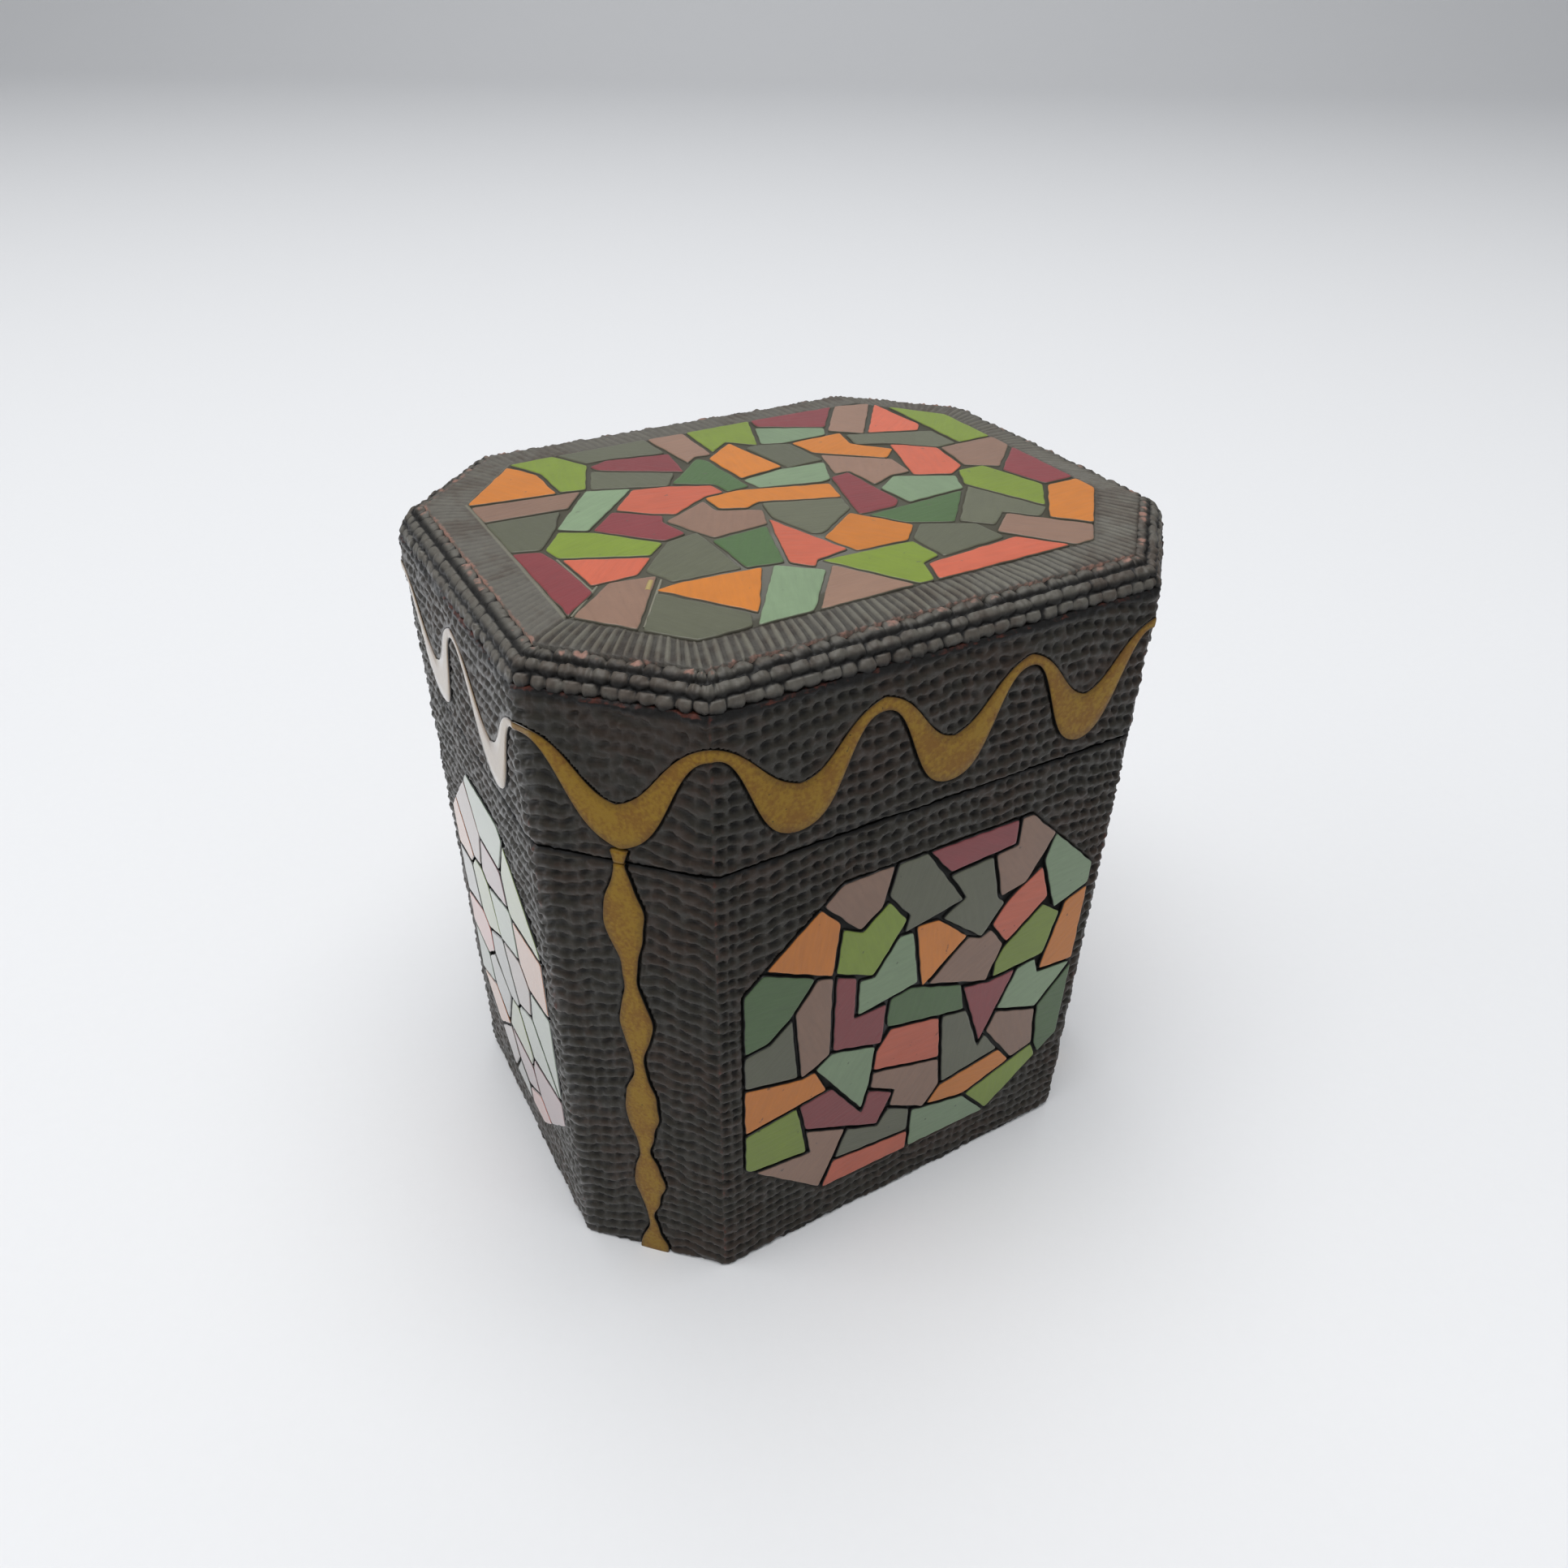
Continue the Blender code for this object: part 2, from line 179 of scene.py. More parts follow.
# The front's tiles, read from the photograph: a paint, then corners along the wall and up it.
FRONT_TILES = (
    ("taupe", (21, 91), (25, 94.2), (35, 94.2), (32.5, 84.5), (29, 82)),
    ("slate", (35, 94.2), (41.5, 94.2), (51, 80.3), (37.8, 77), (38.5, 81.5), (34, 87)),
    ("rose", (42.5, 94.2), (62, 94.2), (62.3, 89), (47.3, 87.6)),
    ("taupe", (62.5, 94.2), (65, 94.2), (71, 87.5), (65.5, 76.8), (60, 76.8), (57.5, 87.5), (62.5, 88.5)),
    ("slate", (47.5, 87.3), (57.3, 87.3), (60, 76.8), (62.2, 75.5), (57.2, 68.2), (46.5, 77), (51, 80)),
    ("sage", (71.5, 86), (83, 76), (83, 70.7), (74.7, 67.3), (70.5, 80.5)),
    ("orange", (10.5, 80), (20.5, 89.8), (24.3, 84.5), (23, 73.8)),
    ("lime", (24.5, 84.3), (29, 82), (34, 87), (38.3, 81), (32, 69), (23.8, 73.5)),
    ("green", (5, 76.3), (10.3, 80), (19.3, 74), (15, 67.3), (10, 62.5), (5, 62)),
    ("taupe", (15.3, 67.5), (20, 74.2), (23.2, 73), (23.5, 53), (17, 49)),
    ("slate", (5, 61.5), (10, 62.3), (14.8, 66.5), (16.3, 50), (5, 52.8)),
    ("rose", (23.7, 72.5), (28.5, 70.3), (28.5, 60.2), (35.5, 60), (36, 48.5), (23.5, 53)),
    ("sage", (28.8, 69.5), (32, 68.8), (37.7, 77), (40.5, 76.5), (42, 62.5), (28.8, 60)),
    ("orange", (41, 77), (46.3, 77.3), (53, 69.2), (43.5, 60)),
    ("taupe", (53, 69.2), (57, 68), (59.3, 69), (63, 62.5), (60.3, 54), (46, 60.5)),
    ("coral", (59.3, 69), (62.5, 75.2), (70, 81.5), (72.5, 71), (63.7, 63.5)),
    ("lime", (61, 59.5), (64, 62.5), (72, 70), (77, 67), (74.5, 55), (61, 54.2)),
    ("orange", (83, 70.5), (77.5, 67), (73.7, 50.5), (83, 50)),
    ("green", (36, 60.5), (42.5, 62), (46, 59.5), (54, 56), (55.3, 48.5), (36, 53)),
    ("rose", (54.3, 55.5), (60.5, 54), (67.3, 54), (60.5, 36.5)),
    ("sage", (67.5, 54), (73, 54.8), (74, 50.2), (82.5, 49.3), (75.2, 39), (64.5, 43.5)),
    ("slate", (49.8, 48.8), (55.3, 48.3), (60, 36.5), (62, 38.2), (66, 30.5), (51.5, 28)),
    ("coral", (36.3, 52.5), (49, 49.5), (49.8, 37), (33.5, 42), (34, 48.5)),
    ("sage", (20.5, 50.3), (24.5, 52.8), (33.8, 49), (33, 39), (31.5, 32)),
    ("orange", (5, 52.3), (16.5, 49.2), (20, 50), (22.7, 42.7), (5, 40)),
    ("lime", (5.2, 39.5), (16.3, 40.5), (17.8, 33.5), (19.2, 25.7), (8.5, 27.8), (5.2, 30.5)),
    ("rose", (17, 41), (22.8, 42.3), (31.4, 31.7), (33.3, 36.4), (38.9, 32.5), (35.8, 24.4), (18, 33.5)),
    ("taupe", (33.7, 41.5), (50, 36.5), (51.3, 28.5), (48, 23.5), (38, 28.5), (39.5, 33), (33, 37)),
    ("taupe", (64.3, 43.3), (75.2, 38.5), (76.5, 26.8), (70.8, 25.3), (62, 38.3)),
    ("green", (75.5, 38.8), (83, 48.8), (83, 28.5), (78, 24), (76.7, 27)),
    ("orange", (48.5, 23.3), (51.5, 27.7), (66, 30.3), (70.5, 25.5), (58.5, 20.3)),
    ("lime", (58.7, 20.3), (76.5, 26.8), (77.5, 23.5), (65.5, 12.3)),
    ("sage", (44.5, 23.3), (58.3, 20), (64, 12), (44.8, 12)),
    ("slate", (28, 26.7), (36, 24.5), (38.3, 28.3), (44, 23.5), (43.8, 17.3), (25.6, 19.4)),
    ("coral", (25, 18.9), (43.8, 17), (44, 12), (23.2, 11.7)),
    ("taupe", (9.3, 26.8), (19.3, 25.5), (18.3, 33), (27.8, 27.3), (25.3, 20), (22.3, 14)),
)

# The top's tiles, read from the photograph: a paint, then corners from the left and from the front.
TOP_TILES = (
    ("orange", (13.3, 78.3), (25.5, 91), (28.7, 86), (28.7, 75.8), (13.3, 77.3)),
    ("lime", (26, 92.5), (35, 93), (38.8, 87.3), (33.8, 75.2), (29, 76), (29, 87)),
    ("slate", (36, 93.5), (54.8, 94.3), (54.8, 85.5), (44, 87.5), (38.5, 88)),
    ("rose", (39.8, 84.5), (44, 87.3), (54.7, 85), (52.8, 75.3), (40, 83)),
    ("slate", (38.5, 82.3), (52, 75), (49, 69.8), (35, 75.3)),
    ("taupe", (55.5, 94.5), (63, 94.5), (63, 79.8), (60, 81.3), (55.8, 77.3)),
    ("lime", (64, 94.8), (78, 93.3), (74, 82), (68.5, 85.5), (64, 80.8)),
    ("sage", (78.3, 90), (90.5, 82.8), (90, 79.8), (80, 79.5), (74.7, 81.3)),
    ("rose", (79, 93.5), (99.5, 94.8), (92, 85.5), (79, 90.5)),
    ("taupe", (100.5, 94.5), (107.3, 93), (97, 77.5), (91.5, 81.5)),
    ("coral", (110, 89.5), (110.5, 79), (109, 73), (98, 76.7)),
    ("lime", (111.3, 85), (119.5, 78.8), (118.8, 63.5), (111.3, 63.3)),
    ("taupe", (12.5, 76.7), (32, 74), (27.5, 68.2), (12.5, 69)),
    ("slate", (12.5, 68.2), (25.5, 67.3), (21.8, 59.5), (17.2, 54), (12.5, 55)),
    ("sage", (33.3, 73.3), (41.3, 72), (27, 57.5), (23, 59.5)),
    (
        "coral", (41.5, 70), (48, 68.8), (55.8, 66.3), (56, 62), (50.7, 61), (43.5, 56.5), (40, 58.3),
        (35.5, 63),
    ),
    ("rose", (34.5, 62.5), (40, 58.8), (42.5, 57), (40, 55), (41, 48.5), (37, 47.5), (28, 57)),
    ("green", (60, 80.5), (61, 76.3), (61.8, 62.3), (57, 62.5), (56, 66.2), (49.3, 69.5)),
    ("orange", (61.3, 79.3), (68.5, 84.8), (72, 68.5), (62, 67)),
    ("slate", (71, 81.3), (74.5, 81), (79.5, 78.5), (80.5, 68.3), (73, 67.5)),
    ("orange", (80, 79.3), (92.5, 79.3), (90.5, 70.5), (96.3, 66.3), (93.5, 62.3), (83, 71.3)),
    ("slate", (93, 77.3), (111, 72), (111, 63.3), (106.5, 63.3), (100.5, 68.8), (91.5, 73.3)),
    ("sage", (62.5, 65.3), (73, 67), (80, 66.3), (78.5, 57), (75, 57.3), (62.5, 61)),
    ("taupe", (82, 70.3), (93, 62.3), (93, 54.3), (88, 54.3), (83.5, 51.8), (82.5, 59.3), (80, 60.8)),
    ("coral", (98.5, 67.8), (105.5, 62.3), (104, 52), (100, 49.3), (93, 52.8)),
    ("taupe", (106, 62.3), (119.2, 63), (119.2, 58.3), (110, 48.3), (104.5, 52.3)),
    ("lime", (22.3, 58.3), (27.5, 56.3), (36.8, 46.3), (32.5, 43.3), (18.5, 49.3), (18.5, 53.3)),
    ("taupe", (41, 54.5), (50.5, 59.5), (51.5, 54.8), (58.5, 52), (56, 45.5), (45.3, 44.5), (43.5, 49.5)),
    ("orange", (51.5, 61.5), (60, 61), (75.5, 57.3), (74, 50.3), (60.3, 55), (56, 53), (51.5, 55)),
    ("rose", (77.3, 60), (82, 59.5), (83, 44.5), (81.3, 41), (74, 42.5)),
    ("slate", (59.5, 53.8), (74, 49), (73.3, 44.5), (63, 37.5), (61.5, 38.5), (58.5, 46)),
    ("sage", (88.5, 53.8), (99.5, 49), (96, 43.5), (83.5, 41), (83.5, 49)),
    ("lime", (102, 50), (107, 50.8), (111.3, 37.5), (106, 30), (99.8, 43.3)),
    ("rose", (118.8, 54.5), (119.3, 37.5), (112.3, 37.3), (110.3, 47.3)),
    ("rose", (12.7, 54.5), (16.8, 52), (18.5, 48.5), (19, 34.5), (13, 29.5)),
    ("coral", (19, 48), (32, 42.5), (28.5, 37.3), (20, 36.8)),
    ("slate", (43, 48), (44, 32.5), (31.5, 32), (29, 37.5), (37, 46)),
    ("green", (45, 43.8), (55, 44.5), (51.5, 30), (44.3, 31.5)),
    ("coral", (58, 46.3), (63, 30), (57.5, 29), (56, 26.5), (51.5, 29.5)),
    ("orange", (71.5, 43), (78, 33), (73.5, 28), (64, 28.5), (62.3, 35.5)),
    ("green", (75.3, 40.5), (95.5, 41.5), (86, 31), (78.5, 34.8)),
    ("slate", (98, 42.3), (104.5, 28), (102, 26.8), (96.5, 29.5), (91, 26.5), (87.5, 30)),
    ("orange", (113, 36.5), (119.3, 36.5), (119.3, 31.5), (108, 19.5), (103.5, 24)),
    ("taupe", (13.5, 28.5), (22.5, 37), (30.5, 35.3), (20, 20.5)),
    ("orange", (28.3, 31.3), (33, 32), (46, 29.3), (38.3, 17.5)),
    ("slate", (28.5, 29), (37.5, 17), (36, 13.3), (26.5, 13.3), (21, 20)),
    ("sage", (50, 28.5), (55, 24.5), (47, 13.3), (37, 13.3)),
    ("taupe", (57.5, 24.5), (65.5, 13.3), (48, 13.3)),
    ("lime", (58, 27.5), (75, 27.5), (75.5, 20.3), (71.5, 19.5), (69.5, 13.8), (66.5, 13.8)),
    ("slate", (81, 32), (89, 28.5), (90, 21.3), (76, 20), (75.5, 27.5)),
    ("coral", (72, 18.5), (92, 20.3), (97.5, 13.8), (70.5, 13.3)),
    ("taupe", (96.5, 29), (106.5, 18.5), (103, 13.5), (98, 14), (90.5, 23.5)),
)

# The left panel's tiles: a paint, then its middle from the back and its height, read from the photograph.
LEFT_TILES = (
    ("sage", 30, 87), ("taupe", 18, 80), ("orange", 8, 73), ("rose", 30, 76), ("lime", 46, 79),
    ("sage", 33, 66), ("orange", 48, 67), ("slate", 9, 60), ("lime", 21, 62), ("taupe", 37, 53),
    ("sage", 52, 50), ("coral", 12, 48), ("slate", 28, 49), ("sage", 43, 40), ("green", 9, 36),
    ("slate", 21, 38), ("lime", 32, 33), ("rose", 46, 27), ("orange", 13, 26), ("rose", 33, 22),
    ("taupe", 21, 17), ("coral", 38, 14), ("slate", 27, 13),
)


def swell(points, wavelength, seed):
    """Smooth noise, mostly from -1 to 1: the scaled sum of twelve sine waves that cross in random
    directions."""
    rng = np.random.default_rng(seed)
    ways = rng.normal(size=(12, points.shape[-1]))
    ways /= np.linalg.norm(ways, axis=1, keepdims=True) * wavelength * rng.uniform(0.7, 1.5, (12, 1))
    return np.sin(points @ ways.T * TURN + rng.uniform(0, TURN, 12)).sum(-1) / 3.5


def ease(value, low, high):
    """0 at low and below, 1 at high and above, and 3t^2 - 2t^3 between them."""
    share = np.clip((value - low) / (high - low), 0, 1)
    return share * share * (3 - 2 * share)


def fall(value, low, high):
    """What ease leaves: 1 at low and below, 0 at high and above."""
    return 1 - ease(value, low, high)


def on_wall(side, along, depth, height):
    """Points of a wall: corner + a * along + inward * depth. Near a corner a point also slides along the
    wall by tan(22.5 degrees) times its depth, so that two walls meet on their mitre."""
    side, along, depth, height = np.broadcast_arrays(side, along, depth, height)
    near = np.clip(1 - along / MITRE_REACH, 0, 1)
    far = np.clip(1 - (WIDTHS[side] - along) / MITRE_REACH, 0, 1)
    slid = along + depth * MITRE * (near - far)
    flat = CORNERS[side] + ALONG[side] * slid[..., None] + INWARD[side] * depth[..., None]
    return np.concatenate([flat, height[..., None]], axis=-1)


def on_top(across, back, depth):
    """Points of the top, measured from the left and the front of its box, a depth below it."""
    return np.stack(np.broadcast_arrays(across - HALF_LENGTH, back - HALF_DEPTH, TOP - depth), axis=-1)


def octagon(inset):
    """The eight corners of the outline moved in: each goes in by the inset, and along by the mitre's
    share."""
    return CORNERS + inset * (INWARD + ALONG * MITRE)


def grid_faces(rows, columns, closed=False):
    """Four corners of each cell of a grid, anticlockwise where columns run right and rows run up."""
    row = np.arange(rows - 1)[:, None] * columns
    column = np.arange(columns if closed else columns - 1)[None]
    beside = (column + 1) % columns
    corners = [row + column, row + beside, row + beside + columns, row + column + columns]
    return np.stack(corners, axis=-1).reshape(-1, 4)


class Carving:
    """Gathers surfaces for one mesh, with what its finish reads from each point."""

    def __init__(self):
        self.points = []
        self.faces = []
        self.marks = {}
        self.count = 0

    def add(self, points, faces, **marks):
        """Adds points and faces, and marks: one number, colour or vector for each point or for all."""
        points = points.reshape(-1, 3)
        self.points.append(points)
        self.faces += [np.asarray(group).reshape(len(group), -1) + self.count for group in faces]
        for name, values in marks.items():
            values = np.asarray(values, float)
            shape = (len(points),) if name in ("hollow", "wear", "pale", "rim") else (len(points), 3)
            if values.ndim and values.shape[-1] == 3 and len(shape) == 2:
                values = values.reshape(-1, 3)
            elif values.ndim:
                values = values.reshape(-1)
            self.marks.setdefault(name, []).append(np.broadcast_to(values, shape))
        self.count += len(points)


def make_piece(name, carving, node, finish, smooth=True):
    """Makes the mesh in metres, keeps its marks as attributes, parents it to the root's empty and hides the
    solid that it stands for."""
    points = np.concatenate(carving.points) * MM
    corners = np.concatenate([group.ravel() for group in carving.faces]).astype(np.int32)
    sizes = np.concatenate([np.full(len(group), group.shape[1]) for group in carving.faces])
    starts = (np.cumsum(sizes) - sizes).astype(np.int32)
    mesh = bpy.data.meshes.new(name)
    mesh.vertices.add(len(points))
    mesh.vertices.foreach_set("co", points.ravel())
    mesh.loops.add(len(corners))
    mesh.loops.foreach_set("vertex_index", corners)
    mesh.polygons.add(len(sizes))
    mesh.polygons.foreach_set("loop_start", starts)
    mesh.update(calc_edges=True)
    mesh.validate()
    mesh.polygons.foreach_set("use_smooth", np.full(len(mesh.polygons), smooth))
    for mark, values in carving.marks.items():
        values = np.concatenate(values)
        if mark == "paint":
            layer = mesh.attributes.new(mark, "FLOAT_COLOR", "POINT")
            layer.data.foreach_set("color", np.column_stack([values, np.ones(len(values))]).ravel())
        elif values.ndim == 2:
            mesh.attributes.new(mark, "FLOAT_VECTOR", "POINT").data.foreach_set("vector", values.ravel())
        else:
            mesh.attributes.new(mark, "FLOAT", "POINT").data.foreach_set("value", values)
    mesh.materials.append(finish)
    piece = bpy.data.objects.new(name, mesh)
    bpy.context.scene.collection.objects.link(piece)
    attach(piece, "root")
    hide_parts(node)
    return piece


# Layout of the ornament, which the ground is cut away around.

def ribbon_edges(side, along):
    """The gilt ribbon's upper and lower edges. Let s run from 0 at a crest to 1 at a trough, and let a fall
    be (1 + cos(pi t)) / 2. The upper edge mixes 0.7 of the fall at t = s - 0.03 sin(2 pi s) - 0.05 sin(pi
    s)^2 with 0.3 (1 - s), which points its notch. The lower edge is the fall at t = s - 0.045 sin(2 pi s) +
    0.065 sin(pi s)^2, which fills its troughs, and on a corner face 0.8 of that with 0.2 (1 - s). The
    front's waves lean a little to the right, and slow noise makes each wave a little different."""
    wave = along / WIDTHS[side]
    lean = np.where(side == FRONT, 0.018, 0.0)
    wave = (wave - lean * np.sin(math.pi * wave)) * WAVES[side]
    share = 1 - np.abs(1 - 2 * (wave - np.floor(wave)))
    bend, swelling = np.sin(TURN * share), np.sin(math.pi * share) ** 2
    pointed = 0.35 * (1 + np.cos(math.pi * (share - 0.03 * bend - 0.05 * swelling))) + 0.3 * (1 - share)
    steep = (1 + np.cos(math.pi * (share - 0.045 * bend + 0.065 * swelling))) / 2
    steep = np.where(side % 2 == 1, 0.8 * steep + 0.2 * (1 - share), steep)
    place = on_wall(side, along, 0 * along, 120 + 0 * along)
    upper = TROUGH_NOTCH[side] + (CREST_TOP - TROUGH_NOTCH[side]) * pointed + 0.28 * swell(place, 13, 11)
    lower = TROUGH_TIP[side] + (CREST_FOOT - TROUGH_TIP[side]) * steep + 0.28 * swell(place, 15, 12)
    return upper, lower


def drip_edges(side, height):
    """Left and right edges of a corner face's drip, along the wall: the middle -+ half the width, which
    eases between the outline's points as 3t^2 - 2t^3, with a little noise, more on the right."""
    heights, widths = DRIP_OUTLINE.T
    k = np.clip(np.searchsorted(heights, height, side="right") - 1, 0, len(heights) - 2)
    share = ease(height, heights[k], heights[k + 1])
    half = (widths[k] * (1 - share) + widths[k + 1] * share) / 2
    place = on_wall(side, 15 + 0 * height, 0 * height, height)
    middle = WIDTHS[side] / 2 + 0.25 * swell(place, 40, 21)
    left = middle - half + 0.18 * swell(place, 7, 22)
    right = middle + half + 0.3 * swell(place, 6, 23)
    return left, right


def panel_outline(side):
    """The mosaic panel's corners on a wall, or None on a corner face. The end walls and the back follow the
    front's margins."""
    if side == FRONT:
        return np.array(FRONT_PANEL, float)
    if side % 2:
        return None
    span = WIDTHS[side]
    return np.array([
        (5, 29), (22, 11.3), (span - 22, 11.3), (span - 5, 29),
        (span - 5, 76.5), (span - 22, 94.4), (22, 94.4), (5, 76.5),
    ])


def outward_normals(spans):
    """Each edge's normal of length 1, outwards on an anticlockwise outline."""
    return np.stack([spans[:, 1], -spans[:, 0]], axis=1) / np.linalg.norm(spans, axis=1)[:, None]


def convex_distance(points, corners):
    """Distance outside an anticlockwise convex outline, negative inside: the greatest over its edges."""
    normals = outward_normals(np.roll(corners, -1, axis=0) - corners)
    reach = (corners * normals).sum(1)
    return (points @ normals.T - reach).max(-1)


def ornament_distance(side, along, height):
    """Distance from the nearest ribbon, drip or panel edge, negative inside it."""
    upper, lower = ribbon_edges(side, along)
    step = 0.2
    upper_ahead, lower_ahead = ribbon_edges(side, np.clip(along + step, 0, WIDTHS[side]))
    over = (height - upper) / np.hypot(1, (upper_ahead - upper) / step)
    under = (lower - height) / np.hypot(1, (lower_ahead - lower) / step)
    distance = np.maximum(over, under)
    left, right = drip_edges(side, height)
    drip = np.maximum(left - along, along - right)
    drip = np.maximum(drip, height - DRIP_TOP)
    distance = np.where(side % 2 == 1, np.minimum(distance, drip), distance)
    for wall in (FRONT, RIGHT, BACK, LEFT):
        here = side == wall
        if here.any():
            places = np.stack([along[here], height[here]], axis=-1)
            distance[here] = np.minimum(distance[here], convex_distance(places, panel_outline(wall)))
    return distance


def columns_on(sides, counts, closed=False):
    """Places along some walls, so many on each wall: their side and the share along it. The far end of the
    last wall is one more, unless the walls close a ring."""
    side = np.concatenate([np.full(counts[s], s) for s in sides])
    share = np.concatenate([np.arange(counts[s]) / counts[s] for s in sides])
    if closed:
        return side, share
    return np.append(side, sides[-1]), np.append(share, 1.0)


def first_cell(cells, side):
    """How many cells lie on the walls before each side."""
    return (np.cumsum(cells) - cells)[side]


def ovals(cell, row, total, across_size, up_size, jitter, stagger, seed):
    """Ovals, one in each cell: x^2 + y^2 from each oval's middle, 1 at its rim. Every second row is moved
    along by the stagger. Each oval's place and size vary, and up_size is (above, below) the middle. Also
    gives each point its cell's own random number."""
    line = np.floor(row + 1e-6).astype(int)
    moved = cell + stagger * (line % 2)
    column = np.floor(moved + 1e-6).astype(int)
    lines = line - line.min()
    dice = np.random.default_rng(seed).uniform(-1, 1, (lines.max() + 1, total, 5))[lines, column % total]
    across = moved - column - 0.5 - jitter * dice[..., 0]
    across = across / (across_size * (1 + 1.2 * jitter * dice[..., 1]))
    up = row - line - 0.5 - jitter * dice[..., 2]
    up = up / (np.where(up > 0, up_size[0], up_size[1]) * (1 + 1.2 * jitter * dice[..., 3]))
    return across**2 + up**2, dice[..., 4]


def gouge_cuts(side, share, height, place, seed):
    """How deep the gouge has gone, from 0 to 1: a share of a groove along each row, ((1 - cos(2 pi row)) /
    2)^1.5, and a share of an oval pit for each cut, 1 - x^2 - y^2. Rows and columns are bent by slow noise,
    which leaves the columns straight at a wall's ends."""
    kind = side % 2
    along = share * WIDTHS[side]
    inside = ease(np.minimum(along, WIDTHS[side] - along), 0, 6)
    cell = share * GOUGE_CELLS[side] + inside * 0.35 * swell(place * (1, 1, 0.3), 24, 101)
    cell = first_cell(GOUGE_CELLS, side) + cell.clip(0, GOUGE_CELLS[side] - 1e-3)
    wave = ROW_WANDER[kind] * swell(place * (1, 1, 0.3), 5.5, 103)
    row = height / GOUGE_ROW[side] + wave + 0.55 * swell(place * (1, 1, 0.12), 34, 104) + 40
    spread, dice = ovals(cell, row, GOUGE_CELLS.sum(), PIT_WIDTH[kind], PIT_HEIGHT, 0.12, 0.0, seed)
    pit = np.clip(1 - spread, 0, 1) * (0.84 + 0.16 * dice)
    groove = ((1 - np.cos(TURN * row)) / 2) ** 1.5
    return GROOVE_SHARE[kind] * groove + PIT_SHARE[kind] * pit


def gouged_ground(sides, low, high, seed):
    """The ground on some walls, as a grid of points: its level, sunk by the gouge cuts and made rough by
    noise. Towards the ornament the cuts fade into a smooth moat, and the ground's own edges are rounded.
    Gives the points, the faces, two marks (hollow: dark staining in the cuts deepened by painted shade,
    and painted shade in the moat, at the ground's edges and under the beads; and wear) and the strips that
    turn in under the lower and the upper edge."""
    side, share = columns_on(sides, np.round(WIDTHS / GRID_STEP).astype(int))
    height = np.linspace(low, high, round((high - low) / GRID_STEP) + 1)
    side, share, height = np.broadcast_arrays(side[None], share[None], height[:, None])
    along = share * WIDTHS[side]
    place = on_wall(side, along, 0 * along, height)
    ornament = ornament_distance(side, along, height)
    above = (height > ribbon_edges(side, along)[0]).astype(int)
    upper_corner = (above == 1) & (side % 2 == 1)
    edge = np.minimum(height - low, high - height)
    corner = np.minimum(along, WIDTHS[side] - along)

    cut = gouge_cuts(side, share, height, place, seed)
    cut = cut * CUTS_LEFT[above, side % 2] * ease(ornament, 0.2, 1.0)
    moat_start, moat_end, moat_depth = MOATS.T[:, above]
    moat = fall(ornament, moat_start, moat_end)
    rough = 0.10 * swell(place, 1.9, 106) + 0.07 * swell(place, 1.2, 107)
    rough = 0.10 * swell(place, 9, 105) + rough * np.where(upper_corner, 1.7, 1.0)
    depth = GROUND_LEVEL + rough + CUT_DEPTH * cut * ease(edge, -0.2, 1.4)
    depth = depth + 0.25 * fall(corner, 0, 0.9) + 0.6 * fall(edge, 0, 0.6)
    depth = np.maximum(depth * (1 - moat) + moat_depth * moat, 0.03)

    to_beads = GROUND_TOP - height
    # Dark staining in the cuts, deepened by painted shade; painted shade in the moat, at the ground's upper
    # and lower edges, under the beads, and over the corner faces above the ribbon.
    hollow = np.maximum.reduce([
        cut, moat * (moat_depth - 0.1), fall(edge, 0.1, 0.6), 0.8 * fall(to_beads, 0.6, 2.4),
        np.where(upper_corner, 0.25, 0.0),
    ])
    wear = np.maximum.reduce([
        0.4 * fall(edge, 0.2, 1.2), 0.60 * fall(corner, 0.1, 1.3), 0.62 * fall(to_beads, 0.5, 1.1),
    ])
    wear = wear * (1 - 0.7 * cut) * (1 - moat)
    points = on_wall(side, along, depth, height)
    faces = grid_faces(*side.shape)
    under_tiles = ((ornament < -1.0) & (height < 100)).ravel()
    faces = faces[~under_tiles[faces].all(axis=1)]
    rims = []
    for k, level in ((0, low), (-1, high)):
        buried = on_wall(side[k], along[k], np.full(along[k].shape, 3.0), np.full(along[k].shape, level))
        rim = np.stack([buried, points[k]] if k == 0 else [points[k], buried])
        rims.append((rim, hollow[k], wear[k]))
    return points, faces, hollow, wear, rims


def add_ground(name, node, sides, low, high, seed, finish):
    """Makes one stretch of gouged ground, with its upper and lower edges turned in under it."""
    points, faces, hollow, wear, rims = gouged_ground(sides, low, high, seed)
    carving = Carving()
    carving.add(points, [faces], hollow=hollow, wear=wear)
    for rim, rim_stain_and_shade, rim_wear in rims:
        faces = grid_faces(*rim.shape[:2])
        carving.add(rim, [faces], hollow=np.stack([rim_stain_and_shade] * 2), wear=np.stack([rim_wear] * 2))
    return make_piece(name, carving, node, finish)


def vessel(rings):
    """A closed eight-sided shell: octagons at (inset, height), joined in order, with both ends capped."""
    points = np.stack([np.column_stack([octagon(inset), np.full(8, height)]) for inset, height in rings])
    ends = [np.arange(8)[None, ::-1], np.arange(8)[None] + 8 * (len(rings) - 1)]
    return points, [grid_faces(len(rings), 8, closed=True)] + ends


# A gilt strip's points lie this far apart along it. Across it: how far from the first edge to the second, an
# inset and a depth.
STRIP_STEP = 0.5
STRIP_MIX = np.array([0, 0, 0, 0, 0.3, 0.5, 0.7, 1, 1, 1, 1])[:, None]
STRIP_INSET = np.array([0, 0, 0.06, 0.25, 0, 0, 0, -0.25, -0.06, 0, 0])[:, None]
STRIP_DEPTH = np.array([1.6, 0.30, 0.12, 0.05, 0.02, 0.02, 0.02, 0.05, 0.12, 0.30, 1.6])[:, None]


